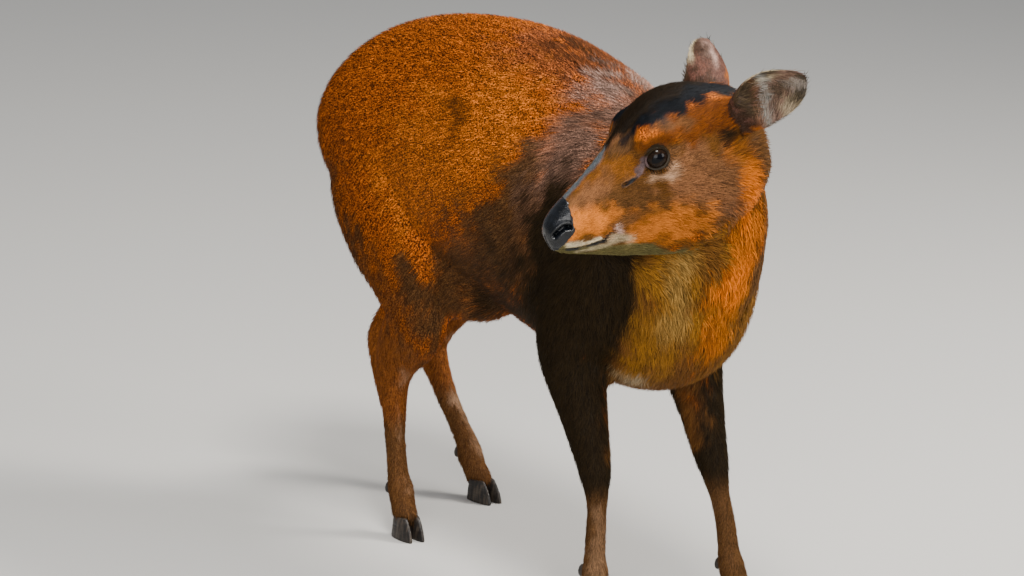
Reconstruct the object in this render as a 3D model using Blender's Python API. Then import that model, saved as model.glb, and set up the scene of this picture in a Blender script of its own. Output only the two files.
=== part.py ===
"""A muntjac doe, life size, standing and looking back over her right shoulder.

The body is modelled whole from lofted lengths (trunk, neck, skull, limbs and tail), fused, given the
relief of the face, and parted with thin cuts into the pieces a person would name.
Metres, +Z up. The doe faces +X, her left side is +Y, and her head is turned towards -Y.
"""
import bmesh
import bpy
import numpy as np
from math import cos, pi, radians, sin
from mathutils import Matrix, Vector

# Driving dimensions
EAR_LENGTH = 0.080
EYE_RADIUS = 0.0125
EYE_HALF_LENGTH = 0.0110     # half the opening between the lids
EYE_HALF_HEIGHT = 0.0090
LID_THICKNESS = 0.0016
HOOF_LENGTH = 0.031
HOOF_WIDTH = 0.0120
HOOF_HEIGHT = 0.021
GAP = 0.0003                 # clearance that touching pieces keep
RING_POINTS = 32             # points round a lofted section
FUSE_VOXEL = 0.0032          # grain of the fused body
FUSE_ROUNDING = 10           # passes that round the creases between fused forms
BODY_TRIANGLES = 8200        # triangles left in the fused body
FACE_FROM = 0.0              # where the finer skin of the head starts, forward in its frame
FEATURES_FROM = 0.066        # where the finest skin starts, for the eyes, nose and lips
SLIVER_VOLUME = 1e-7         # loose bits of flesh smaller than this are dropped

# The head's own frame: forward to the nose, left, and up
HEAD_BASE = Vector((0.379, -0.003, 0.464))
HEAD_YAW = radians(-102)
HEAD_PITCH = radians(19.6)
HEAD_ROLL = radians(2)

# Trunk stations along X: x, top, bottom, half width, height share of the widest line
TRUNK = [
    (-0.206, 0.398, 0.340, 0.018, 0.50),
    (-0.192, 0.427, 0.318, 0.060, 0.50),
    (-0.165, 0.454, 0.300, 0.085, 0.50),
    (-0.130, 0.475, 0.282, 0.097, 0.50),
    (-0.080, 0.491, 0.266, 0.100, 0.48),
    (-0.030, 0.500, 0.250, 0.101, 0.47),
    (0.030, 0.506, 0.247, 0.103, 0.45),
    (0.090, 0.506, 0.240, 0.105, 0.44),
    (0.150, 0.498, 0.227, 0.102, 0.44),
    (0.210, 0.484, 0.212, 0.095, 0.45),
    (0.260, 0.466, 0.204, 0.086, 0.46),
    (0.304, 0.446, 0.210, 0.078, 0.48),
    (0.342, 0.418, 0.232, 0.067, 0.50),
    (0.368, 0.386, 0.266, 0.040, 0.50),
]
TRUNK_TOP_POWER, TRUNK_BOTTOM_POWER = 1.9, 2.2

# Neck stations: centre x, y, z, half across, half front to back
NECK = [
    (0.195, 0.000, 0.350, 0.055, 0.080),
    (0.250, 0.000, 0.350, 0.068, 0.094),
    (0.302, 0.004, 0.352, 0.072, 0.096),
    (0.332, 0.004, 0.382, 0.057, 0.069),
    (0.340, 0.004, 0.416, 0.047, 0.053),
    (0.346, 0.002, 0.448, 0.042, 0.045),
    (0.358, -0.008, 0.466, 0.038, 0.040),
    (0.370, -0.026, 0.472, 0.034, 0.036),
]

# Skull stations in the head's frame: forward, top, bottom, half width, height share of the widest line
SKULL = [
    (-0.021, 0.026, -0.042, 0.024, 0.5),
    (-0.006, 0.043, -0.060, 0.034, 0.5),
    (0.014, 0.054, -0.073, 0.039, 0.5),
    (0.035, 0.063, -0.081, 0.041, 0.5),
    (0.056, 0.066, -0.085, 0.041, 0.52),
    (0.076, 0.063, -0.085, 0.0385, 0.54),
    (0.095, 0.053, -0.081, 0.0330, 0.55),
    (0.115, 0.038, -0.074, 0.0275, 0.54),
    (0.136, 0.024, -0.066, 0.0235, 0.48),
    (0.158, 0.012, -0.056, 0.0195, 0.44),
    (0.177, 0.003, -0.048, 0.0165, 0.45),
    (0.190, -0.005, -0.041, 0.0138, 0.5),
    (0.198, -0.014, -0.032, 0.0075, 0.5),
]
SKULL_TOP_POWER, SKULL_BOTTOM_POWER = 2.1, 2.0
# Brow, cheek and ear root on the left of the skull: centre, radii
HEAD_MASSES = [
    ((0.083, 0.025, 0.026), (0.024, 0.015, 0.026)),
    ((0.052, 0.022, -0.026), (0.036, 0.022, 0.036)),
    ((0.014, 0.030, 0.024), (0.022, 0.020, 0.021)),
]
EYE_PLACE = (0.0870, 0.0258, 0.0160)
EYE_OUT = (0.28, 1.0, 0.10)
EYE_SLANT = radians(-14)

# Relief of the face, left side: line, depth, width, height of the swelling beside it
FACE_LINES = [
    (((0.105, 0.034, 0.008), (0.113, 0.030, 0.005), (0.122, 0.0255, 0.0025)), 0.0028, 0.0020, 0.0007),
    (((0.192, 0.004, -0.037), (0.185, 0.011, -0.0375), (0.176, 0.0135, -0.0395), (0.167, 0.016, -0.0405),
      (0.154, 0.0185, -0.0405), (0.147, 0.0205, -0.038), (0.144, 0.022, -0.034)), 0.0026, 0.0019, 0.0009),
    (((0.144, 0.022, -0.034), (0.145, 0.0232, -0.0285)), 0.0016, 0.0022, 0.0005),
    (((0.192, 0.0118, -0.0210), (0.186, 0.0148, -0.0172), (0.179, 0.0155, -0.0178)), 0.0038, 0.0022, 0.0007),
    (((0.198, 0.0, -0.020), (0.195, 0.0, -0.036)), 0.0012, 0.0012, 0.0),
    (((0.060, 0.020, 0.056), (0.086, 0.014, 0.050), (0.110, 0.009, 0.039)), 0.0012, 0.0030, 0.0005),
]

# Ears: root and axes in the head's frame (left), then along, half width, depth, opening, thickness
EAR_ROOT = (0.006, 0.038, 0.024)
EAR_AXIS = (-0.575, 0.690, 0.445)
EAR_FACE = (0.57, 0.74, -0.36)
EAR_BEND = 0.006
EAR = [
    (-0.006, 0.0150, 0.012, 120, 0.0030),
    (0.004, 0.0178, 0.013, 120, 0.0030),
    (0.014, 0.0212, 0.015, 112, 0.0028),
    (0.026, 0.0246, 0.015, 100, 0.0026),
    (0.040, 0.0258, 0.013, 90, 0.0024),
    (0.054, 0.0238, 0.010, 82, 0.0022),
    (0.066, 0.0172, 0.007, 74, 0.0020),
    (0.075, 0.0094, 0.004, 68, 0.0018),
    (0.080, 0.0030, 0.002, 62, 0.0014),
]
EAR_CUP_FROM, EAR_CUP_RAMP = 0.018, 0.016    # where the cup opens, and how gradually
EAR_RINGS, EAR_REAR_POINTS = 18, 13

# Tail stations, root to tip: centre x, y, z, half across, half front to back
TAIL = [
    (-0.160, 0.000, 0.428, 0.022, 0.018),
    (-0.194, 0.000, 0.417, 0.022, 0.016),
    (-0.222, 0.000, 0.396, 0.022, 0.013),
    (-0.238, 0.000, 0.366, 0.020, 0.011),
    (-0.244, 0.000, 0.336, 0.014, 0.008),
    (-0.246, 0.000, 0.312, 0.006, 0.004),
]

# Limb stations: centre x, y, z of the right limb, half across, half front to back
FORELEG = [
    (0.262, -0.044, 0.365, 0.034, 0.062),
    (0.262, -0.058, 0.320, 0.036, 0.060),
    (0.246, -0.064, 0.272, 0.033, 0.050),
    (0.243, -0.065, 0.238, 0.0310, 0.037),
    (0.252, -0.064, 0.210, 0.0265, 0.030),
    (0.267, -0.063, 0.175, 0.0208, 0.022),
    (0.280, -0.062, 0.143, 0.0168, 0.0175),
    (0.285, -0.062, 0.127, 0.0140, 0.0150),
    (0.289, -0.062, 0.108, 0.0100, 0.0112),
    (0.291, -0.063, 0.085, 0.0098, 0.0108),
    (0.293, -0.064, 0.060, 0.0104, 0.0112),
    (0.296, -0.065, 0.044, 0.0128, 0.0140),
    (0.302, -0.066, 0.031, 0.0120, 0.0125),
    (0.309, -0.066, 0.018, 0.0135, 0.0140),
    (0.311, -0.066, 0.012, 0.0120, 0.0130),
]
HINDLEG = [
    (-0.100, -0.040, 0.415, 0.040, 0.070),
    (-0.084, -0.050, 0.376, 0.046, 0.092),
    (-0.062, -0.059, 0.338, 0.046, 0.096),
    (-0.038, -0.066, 0.302, 0.040, 0.083),
    (-0.012, -0.071, 0.268, 0.034, 0.066),
    (0.000, -0.073, 0.240, 0.029, 0.053),
    (0.003, -0.073, 0.217, 0.0245, 0.043),
    (-0.010, -0.071, 0.199, 0.0210, 0.037),
    (-0.028, -0.069, 0.176, 0.0175, 0.030),
    (-0.036, -0.068, 0.152, 0.0150, 0.0220),
    (-0.034, -0.068, 0.130, 0.0125, 0.0160),
    (-0.028, -0.069, 0.092, 0.0105, 0.0118),
    (-0.018, -0.070, 0.057, 0.0108, 0.0118),
    (-0.012, -0.070, 0.044, 0.0132, 0.0145),
    (-0.006, -0.071, 0.031, 0.0122, 0.0125),
    (0.002, -0.072, 0.018, 0.0135, 0.0140),
    (0.004, -0.072, 0.012, 0.0120, 0.0130),
]
# The tendon and heel bone behind the gaskin
HEEL = [
    (-0.036, -0.070, 0.250, 0.014, 0.014),
    (-0.048, -0.069, 0.222, 0.008, 0.010),
    (-0.063, -0.068, 0.200, 0.008, 0.009),
    (-0.069, -0.068, 0.181, 0.0100, 0.011),
    (-0.058, -0.068, 0.152, 0.0100, 0.011),
    (-0.043, -0.068, 0.122, 0.0095, 0.010),
]
# Flank fold between stifle and belly: centre, radii
FLANK = ((0.046, -0.052, 0.262), (0.086, 0.034, 0.038))
# How far each limb is carried at a height of its path: height, then shift in x, y (outward negative), z
STRIDE = {
    "fore_right": [(0.40, 0.0, 0.0, 0.0), (0.0, 0.0, 0.0, 0.0)],
    "fore_left": [(0.40, 0.0, 0.0, 0.0), (0.27, 0.0, 0.0, 0.0), (0.14, 0.013, 0.0, 0.0),
                  (0.108, 0.021, 0.0, 0.0), (0.08, 0.031, 0.0, 0.0), (0.0, 0.040, 0.0, 0.0)],
    "hind_right": [(0.40, 0.0, 0.0, 0.0), (0.0, 0.0, 0.0, 0.0)],
    "hind_left": [(0.40, 0.0, 0.0, 0.0), (0.34, -0.004, 0.0, 0.0), (0.30, -0.020, 0.0, 0.004),
                  (0.268, -0.050, 0.0, 0.010), (0.24, -0.086, 0.0, 0.020),
                  (0.217, -0.106, 0.0, 0.016), (0.199, -0.124, 0.0, 0.006),
                  (0.176, -0.134, 0.0, -0.006), (0.152, -0.134, 0.0, -0.012), (0.130, -0.126, 0.0, -0.011),
                  (0.092, -0.108, 0.0, -0.006), (0.057, -0.088, 0.0, -0.002), (0.0, -0.078, 0.0, 0.0)],
}
FOOT_TURN = {"fore_right": -6, "fore_left": 6, "hind_right": -5, "hind_left": 5}
HOOF_FORWARD = 0.006         # the middle of a hoof ahead of the end of its limb
CLEFT = 0.0008               # air between the two hooves of a foot
# Dew claws behind the fetlock of the right limb: place between the two, spacing, radii
DEW_CLAW = {"fore": (0.2842, -0.0650, 0.0435), "hind": (-0.0242, -0.0700, 0.0435)}
DEW_CLAW_APART = 0.0118
DEW_CLAW_RADII = (0.0042, 0.0030, 0.0065)
DEW_CLAW_SLANT = radians(18)

# Parting cuts: centre, direction, direction of the longer radius, the two radii
PARTING = [
    ((0.3700, -0.0125, 0.4305), (0.35, -0.75, 0.56), (0.0, 0.6, 0.8), 0.106, 0.086),
    ((0.318, 0.0, 0.370), (0.876, 0.0, 0.482), (-0.482, 0.0, 0.876), 0.132, 0.092),
    ((-0.226, 0.0, 0.394), (-0.72, 0.0, -0.69), (0.0, 1.0, 0.0), 0.036, 0.024),
]
LIMB_PARTING = {
    "fore": [((0.2585, -0.0625, 0.192), (0.36, 0.0, -0.93), 0.036, 0.040),
             ((0.2855, -0.062, 0.125), (0.2, 0.0, -0.98), 0.026, 0.026)],
    "hind": [((-0.020, -0.0708, 0.198), (-0.45, 0.0, -0.89), 0.036, 0.066),
             ((-0.0325, -0.0684, 0.118), (0.16, 0.0, -0.98), 0.026, 0.028)],
}
NOSE_PARTING = ((0.1770, 0.0, -0.0210), (0.93, 0.0, 0.37), 0.031)

# The middle of each fleshy piece, by which the parted lumps are named
PIECES = {
    "torso": (0.06, 0.0, 0.37),
    "neck": (0.345, 0.0, 0.39),
    "head": (0.37, -0.07, 0.44),
    "nose": (0.345, -0.175, 0.40),
    "tail": (-0.235, 0.0, 0.36),
    "foreleg_right": (0.272, -0.063, 0.160),
    "foreleg_left": (0.282, 0.063, 0.160),
    "forefoot_right": (0.293, -0.064, 0.065),
    "forefoot_left": (0.315, 0.064, 0.065),
    "hindleg_right": (-0.030, -0.070, 0.160),
    "hindleg_left": (-0.160, 0.070, 0.155),
    "hindfoot_right": (-0.018, -0.070, 0.065),
    "hindfoot_left": (-0.112, 0.070, 0.065),
}
# Coverings: material, colour, roughness
COVERING = {
    "torso": ("coat_chestnut", (0.36, 0.135, 0.045), 0.85),
    "neck": ("coat_ochre", (0.40, 0.155, 0.045), 0.85),
    "head": ("coat_ochre", (0.40, 0.155, 0.045), 0.85),
    "tail": ("coat_chestnut", (0.36, 0.135, 0.045), 0.85),
    "leg": ("coat_umber", (0.075, 0.038, 0.022), 0.85),
    "foot": ("coat_umber", (0.075, 0.038, 0.022), 0.85),
    "ear": ("coat_ear", (0.16, 0.085, 0.065), 0.85),
    "eye": ("eyeball", (0.012, 0.008, 0.006), 0.08),
    "nose": ("nose_pad", (0.012, 0.012, 0.013), 0.30),
    "hoof": ("horn_black", (0.022, 0.018, 0.016), 0.45),
    "dewclaw": ("horn_black", (0.022, 0.018, 0.016), 0.45),
}


def spline_rows(rows, count):
    """Rows read from a Catmull-Rom curve through the given rows, evenly by station."""
    table = np.array(rows, float)
    padded = np.vstack([2 * table[0] - table[1], table, 2 * table[-1] - table[-2]])
    out = []
    for t in np.linspace(0, len(table) - 1, count):
        i = min(int(t), len(table) - 2)
        u = t - i
        a, b, c, d = padded[i:i + 4]
        out.append(0.5 * (2 * b + (c - a) * u + (2 * a - 5 * b + 4 * c - d) * u ** 2
                          + (3 * b - a - 3 * c + d) * u ** 3))
    return np.array(out)


def superellipse(angle, power):
    """Unit outline point at an angle; power 2 is round, more is squarer."""
    c, s = cos(angle), sin(angle)
    return (np.sign(c) * abs(c) ** (2 / power), np.sign(s) * abs(s) ** (2 / power))


def new_object(name, bm):
    """A scene object from a bmesh, faces turned outward."""
    bmesh.ops.recalc_face_normals(bm, faces=bm.faces)
    mesh = bpy.data.meshes.new(name)
    bm.to_mesh(mesh)
    bm.free()
    obj = bpy.data.objects.new(name, mesh)
    bpy.context.scene.collection.objects.link(obj)
    return obj


def loft(name, rings):
    """A closed mesh object through rings of equal point counts, both ends filled."""
    bm = bmesh.new()
    loops = [[bm.verts.new(p) for p in ring] for ring in rings]
    for first, second in zip(loops, loops[1:]):
        for i in range(len(first)):
            j = (i + 1) % len(first)
            bm.faces.new((first[i], first[j], second[j], second[i]))
    bm.faces.new(loops[0][::-1])
    bm.faces.new(loops[-1])
    return new_object(name, bm)


def body_rings(stations, powers, count):
    """Rings square to the first column, with their own top and bottom halves."""
    rings = []
    for x, top, bottom, half, share in spline_rows(stations, count):
        middle = bottom + (top - bottom) * share
        ring = []
        for k in range(RING_POINTS):
            angle = 2 * pi * k / RING_POINTS
            side, rise = superellipse(angle, powers[0] if sin(angle) > 0 else powers[1])
            reach = (top - middle) if rise > 0 else (middle - bottom)
            ring.append(Vector((x, half * side, middle + reach * rise)))
        rings.append(ring)
    return rings


def limb_rings(stations, count, side=1, points=RING_POINTS):
    """Rings square to the path of a limb; side -1 mirrors it to the other flank."""
    rows = spline_rows(stations, count)
    rows[:, 1] *= side
    rings = []
    for k, row in enumerate(rows):
        ahead, behind = rows[min(k + 1, len(rows) - 1)], rows[max(k - 1, 0)]
        along = Vector(ahead[:3] - behind[:3]).normalized()
        across = (Vector((0, 1, 0)) - along * along.y).normalized()
        front = across.cross(along)
        centre = Vector(row[:3])
        rings.append([centre + across * row[3] * cos(a) + front * row[4] * sin(a)
                      for a in (2 * pi * i / points for i in range(points))])
    return rings


def ellipsoid(name, centre, radii, matrix=None, rings=16):
    """A plain ellipsoid, turned with the matrix it is given."""
    bm = bmesh.new()
    bmesh.ops.create_uvsphere(bm, u_segments=rings * 2, v_segments=rings, radius=1)
    place = (matrix or Matrix()) @ Matrix.Translation(Vector(centre)) @ Matrix.Diagonal((*radii, 1))
    bm.transform(place)
    return new_object(name, bm)


def joined(name, objects):
    """One object holding the meshes of several, which are removed."""
    bm = bmesh.new()
    for obj in objects:
        bm.from_mesh(obj.data)
        bpy.data.objects.remove(obj)
    return new_object(name, bm)


def settled(obj):
    """The object's mesh with its modifiers worked in."""
    graph = bpy.context.evaluated_depsgraph_get()
    mesh = bpy.data.meshes.new_from_object(obj.evaluated_get(graph))
    obj.modifiers.clear()
    obj.data = mesh
    return obj


def fused(obj, grain, passes):
    """The overlapping closed forms melted into one skin, its creases rounded."""
    remesh = obj.modifiers.new("melt", 'REMESH')
    remesh.mode = 'VOXEL'
    remesh.voxel_size = grain
    smooth = obj.modifiers.new("round", 'SMOOTH')
    smooth.factor = 0.5
    smooth.iterations = passes
    return settled(obj)


def vertex_arrays(mesh):
    """Positions and normals of a mesh as arrays."""
    points = np.empty(len(mesh.vertices) * 3)
    mesh.vertices.foreach_get("co", points)
    normals = np.empty(len(mesh.vertices) * 3)
    mesh.vertex_normals.foreach_get("vector", normals)
    return points.reshape(-1, 3), normals.reshape(-1, 3)


def refine(obj, chosen):
    """Split the faces whose centres the test picks into four."""
    bm = bmesh.new()
    bm.from_mesh(obj.data)
    faces = [f for f in bm.faces if chosen(f.calc_center_median())]
    edges = list({e for f in faces for e in f.edges})
    bmesh.ops.subdivide_edges(bm, edges=edges, cuts=1, use_grid_fill=True)
    bmesh.ops.triangulate(bm, faces=[f for f in bm.faces if len(f.verts) > 4])
    bm.to_mesh(obj.data)
    bm.free()


def line_distance(points, line):
    """Distance from each point to a polyline."""
    best = np.full(len(points), 1e9)
    for a, b in zip(line, line[1:]):
        a, b = np.array(a), np.array(b)
        span = b - a
        t = np.clip(((points - a) @ span) / (span @ span), 0, 1)
        best = np.minimum(best, np.linalg.norm(points - a - t[:, None] * span, axis=1))
    return best


def carve(points, normals, line, depth, width, lip=0.0, lip_at=2.2):
    """A groove along a line, with a soft swelling beside it."""
    far = line_distance(points, line) / width
    push = -depth * np.exp(-far ** 2) + lip * np.exp(-(far - lip_at) ** 2)
    return points + normals * push[:, None]


def mirrored(line, side):
    """The line of the left side of the head, or its twin on the right."""
    return [(f, l * side, u) for f, l, u in line]


def open_eye(points, side):
    """Lids drawn over the eyeball and a clear opening between them."""
    centre = np.array((EYE_PLACE[0], EYE_PLACE[1] * side, EYE_PLACE[2]))
    out = np.array((EYE_OUT[0], EYE_OUT[1] * side, EYE_OUT[2]))
    out = out / np.linalg.norm(out)
    long = np.array((cos(EYE_SLANT), 0, sin(EYE_SLANT)))
    long = long - out * (long @ out)
    long = long / np.linalg.norm(long)
    high = np.cross(out, long) * side
    away = points - centre
    reach = np.linalg.norm(away, axis=1)
    ray = away / reach[:, None]
    facing = ray @ out
    a = (away @ long) / EYE_HALF_LENGTH
    b = (away @ high) / EYE_HALF_HEIGHT
    ring = np.sqrt(a * a + b * b)
    lid = EYE_RADIUS + LID_THICKNESS * np.clip(1.35 - 0.35 * ring, 0.4, 1)
    edge = np.clip((ring - 0.90) / 0.16, 0, 1)
    target = (EYE_RADIUS - 0.0035) * (1 - edge) + lid * edge
    hold = np.clip((1.75 - ring) / 0.50, 0, 1)
    hold = hold * hold * (3 - 2 * hold)
    near = (facing > 0.05) & (reach < 0.034)
    moved = reach + (target - reach) * hold
    crease = -0.0010 * np.exp(-((ring - 1.62) / 0.14) ** 2)
    result = centre + ray * (moved + crease)[:, None]
    return np.where(near[:, None], result, points)


def inflated(obj, amount):
    """The object's mesh grown outward, to cut its own clearance."""
    bm = bmesh.new()
    bm.from_mesh(obj.data)
    bm.normal_update()
    for v, normal in [(v, v.normal.copy()) for v in bm.verts]:
        v.co += normal * amount
    return bm


def disc(centre, normal, longer, long_radius, short_radius):
    """A thin oval plate that parts two pieces."""
    normal = Vector(normal).normalized()
    longer = Vector(longer)
    longer = (longer - normal * longer.dot(normal)).normalized()
    other = normal.cross(longer)
    turn = Matrix((longer, other, normal)).transposed().to_4x4()
    bm = bmesh.new()
    bmesh.ops.create_cone(bm, cap_ends=True, segments=28, radius1=1, radius2=1, depth=1)
    size = Matrix.Diagonal((long_radius, short_radius, GAP, 1))
    bm.transform(Matrix.Translation(Vector(centre)) @ turn @ size)
    return bm


def ear(name, side):
    """A cupped ear: a solid root that opens into a leaf with a thin rolled edge."""
    place = head_matrix()
    root = place @ Vector((EAR_ROOT[0], EAR_ROOT[1] * side, EAR_ROOT[2]))
    axis = (place.to_3x3() @ Vector((EAR_AXIS[0], EAR_AXIS[1] * side, EAR_AXIS[2]))).normalized()
    face = place.to_3x3() @ Vector((EAR_FACE[0], EAR_FACE[1] * side, EAR_FACE[2]))
    face = (face - axis * face.dot(axis)).normalized()
    across = face.cross(axis)
    last = EAR_REAR_POINTS - 1
    rings = []
    for along, half, deep, open_half, thick in spline_rows(EAR, EAR_RINGS):
        spread = max(sin(min(radians(open_half), pi / 2)), 0.2)
        rear = []
        for k in range(EAR_REAR_POINTS):
            angle = radians(open_half) * (2 * k / last - 1)
            rear.append((half * sin(angle) / spread, deep * (1 - cos(angle))))
        inset = max(1 - thick / half, 0.3)
        cupped = min(max((along - EAR_CUP_FROM) / EAR_CUP_RAMP, 0), 1)
        front = []
        for k in range(1, last):
            x, y = rear[last - k]
            plug = rear[0][1] + 0.006 * sin(pi * k / last)
            front.append((x * inset, (y * inset + thick) * cupped + plug * (1 - cupped)))
        bend = EAR_BEND * (along / EAR_LENGTH) ** 2
        middle = root + axis * along
        rings.append([middle + across * x + face * (y - deep + bend) for x, y in rear + front])
    return loft(name, rings)


def hoof(name, place, turn, size, side):
    """One pointed hoof with a flat sole: upright walls, a sloping toe and a cut back."""
    bm = bmesh.new()
    rows = [
        (0.00, 1.00, 1.00, 0.0),
        (0.10, 1.02, 1.02, 0.0),
        (0.45, 0.90, 0.96, -0.04),
        (0.80, 0.72, 0.88, -0.12),
        (1.00, 0.58, 0.80, -0.18),
    ]
    outline = [(-0.50, 0.30), (-0.46, 0.44), (-0.25, 0.52), (0.05, 0.50), (0.32, 0.34), (0.50, 0.10),
               (0.50, -0.06), (0.34, -0.22), (0.05, -0.36), (-0.25, -0.40), (-0.46, -0.34), (-0.50, -0.20)]
    loops = []
    for high, long, wide, back in rows:
        loops.append([bm.verts.new(((x * long + back) * size[0], y * wide * size[1] * side, high * size[2]))
                      for x, y in outline])
    for first, second in zip(loops, loops[1:]):
        for i in range(len(first)):
            j = (i + 1) % len(first)
            bm.faces.new((first[i], first[j], second[j], second[i]))
    bm.faces.new(loops[0][::-1])
    bm.faces.new(loops[-1])
    bm.transform(Matrix.Translation(Vector(place)) @ Matrix.Rotation(turn, 4, 'Z'))
    return new_object(name, bm)


def head_matrix():
    """Head frame (forward, left, up) to world."""
    return (Matrix.Translation(HEAD_BASE) @ Matrix.Rotation(HEAD_YAW, 4, 'Z')
            @ Matrix.Rotation(HEAD_PITCH, 4, 'Y') @ Matrix.Rotation(HEAD_ROLL, 4, 'X'))


def material(name, colour, roughness):
    """A plain surface for one kind of covering."""
    found = bpy.data.materials.get(name) or bpy.data.materials.new(name)
    found.use_nodes = True
    shader = found.node_tree.nodes["Principled BSDF"]
    shader.inputs["Base Color"].default_value = (*colour, 1)
    shader.inputs["Roughness"].default_value = roughness
    return found


def posed(rows, keys):
    """A limb carried along its stride, which is given by height."""
    levels, *shifts = zip(*reversed(keys))
    heights = [row[2] for row in rows]
    carried = [np.interp(heights, levels, shift) for shift in shifts]
    return [(x + dx, y + dy, z + dz, a, b) for (x, y, z, a, b), dx, dy, dz in zip(rows, *carried)]


for old in list(bpy.data.objects):
    bpy.data.objects.remove(old)

# Trunk, neck, limbs and tail, overlapping where they will be melted together
forms = [loft("trunk", body_rings(TRUNK, (TRUNK_TOP_POWER, TRUNK_BOTTOM_POWER), 48))]
forms.append(loft("neck", limb_rings(NECK, 28)))
forms.append(loft("tail", limb_rings(TAIL, 16)))
feet = {}
for label, side in (("right", 1), ("left", -1)):
    fore = posed(FORELEG, STRIDE["fore_" + label])
    hind = posed(HINDLEG, STRIDE["hind_" + label])
    heel = posed(HEEL, STRIDE["hind_" + label])
    fold = posed([(*FLANK[0], 0, 0)], STRIDE["hind_" + label])[0]
    forms.append(ellipsoid("fold", (fold[0], fold[1] * side, fold[2]), FLANK[1]))
    forms.append(loft("foreleg", limb_rings(fore, 44, side)))
    forms.append(loft("hindleg", limb_rings(hind, 44, side)))
    forms.append(loft("heel", limb_rings(heel, 14, side)))
    feet["fore_" + label] = (fore[-1], side)
    feet["hind_" + label] = (hind[-1], side)

# Skull with brow, cheek and ear root
place = head_matrix()
skull = loft("skull", body_rings(SKULL, (SKULL_TOP_POWER, SKULL_BOTTOM_POWER), 44))
skull.data.transform(place)
forms.append(skull)
for side in (1, -1):
    for centre, radii in HEAD_MASSES:
        forms.append(ellipsoid("mass", (centre[0], centre[1] * side, centre[2]), radii, place))
body = fused(joined("body", forms), FUSE_VOXEL, FUSE_ROUNDING)

# The face: finer skin, then lids, gland slits, nostrils, lips and the line of the mouth
back_to_head = np.array(place.inverted())


def in_head(point, forward):
    """Whether a point belongs to the head, ahead of the given place in its frame."""
    seen = place.inverted() @ point
    return seen.x > forward and abs(seen.y) < 0.075 and -0.11 < seen.z < 0.09


refine(body, lambda p: in_head(p, FACE_FROM))
refine(body, lambda p: in_head(p, FEATURES_FROM))
points, normals = vertex_arrays(body.data)
local = points @ back_to_head[:3, :3].T + back_to_head[:3, 3]
bearing = normals @ back_to_head[:3, :3].T
weight = np.clip((local[:, 0] - 0.02) / 0.03, 0, 1)
weight *= (np.abs(local[:, 1]) < 0.07) & (np.abs(local[:, 2]) < 0.1)
shaped = local.copy()
for side in (1, -1):
    shaped = open_eye(shaped, side)
    for line, depth, width, lip in FACE_LINES:
        shaped = carve(shaped, bearing, mirrored(line, side), depth, width, lip)
local = local + (shaped - local) * weight[:, None]
to_world = np.array(place)
points = local @ to_world[:3, :3].T + to_world[:3, 3]
body.data.vertices.foreach_set("co", points.ravel())
body.data.update()
thin = body.modifiers.new("thin", 'DECIMATE')
body.data.calc_loop_triangles()
thin.ratio = BODY_TRIANGLES / len(body.data.loop_triangles)
settled(body)

# Horn, eyes and ears, each seated in the flesh with a hair of clearance
pieces = {}
for label, side in (("left", 1), ("right", -1)):
    eye = ellipsoid("eye_" + label, (EYE_PLACE[0], EYE_PLACE[1] * side, EYE_PLACE[2]),
                    (EYE_RADIUS,) * 3, place, 10)
    pieces[eye.name] = eye
    pieces["ear_" + label] = ear("ear_" + label, side)
for foot, (end, flank) in feet.items():
    turn = radians(FOOT_TURN[foot])
    x, y, z = posed([(*DEW_CLAW[foot[:4]], 0, 0)], STRIDE[foot])[0][:3]
    for part, way in (("inner", flank), ("outer", -flank)):
        shift = Vector((HOOF_FORWARD, way * (HOOF_WIDTH + CLEFT) / 2, 0))
        spot = Vector((end[0], end[1] * flank, 0)) + Matrix.Rotation(turn, 3, 'Z') @ shift
        name = "hoof_" + foot + "_" + part
        pieces[name] = hoof(name, spot, turn, (HOOF_LENGTH, HOOF_WIDTH, HOOF_HEIGHT), way)
        spot = Vector((x, y * flank + way * DEW_CLAW_APART / 2, z))
        seat = Matrix.Translation(spot) @ Matrix.Rotation(DEW_CLAW_SLANT, 4, 'Y')
        name = "dewclaw_" + foot + "_" + part
        pieces[name] = ellipsoid(name, (0, 0, 0), DEW_CLAW_RADII, seat, 5)
cutters = bmesh.new()
scratch = bpy.data.meshes.new("cutter")
for obj in pieces.values():
    grown = inflated(obj, GAP)
    grown.to_mesh(scratch)
    grown.free()
    cutters.from_mesh(scratch)
plates = [disc(*cut) for cut in PARTING]
spot, way, radius = NOSE_PARTING
turned = place.to_3x3()
plates.append(disc(place @ Vector(spot), turned @ Vector(way), turned @ Vector((0, 1, 0)), radius, radius))
for foot, (end, flank) in feet.items():
    for centre, normal, across, along in LIMB_PARTING[foot[:4]]:
        x, y, z = posed([(*centre, 0, 0)], STRIDE[foot])[0][:3]
        plates.append(disc((x, y * flank, z), normal, (0, 1, 0), across, along))
for plate in plates:
    plate.to_mesh(scratch)
    plate.free()
    cutters.from_mesh(scratch)
cutter = new_object("cutter", cutters)
trim = body.modifiers.new("part", 'BOOLEAN')
trim.operation = 'DIFFERENCE'
trim.solver = 'EXACT'
trim.use_self = True
trim.object = cutter
settled(body)
bpy.data.objects.remove(cutter)


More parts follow.
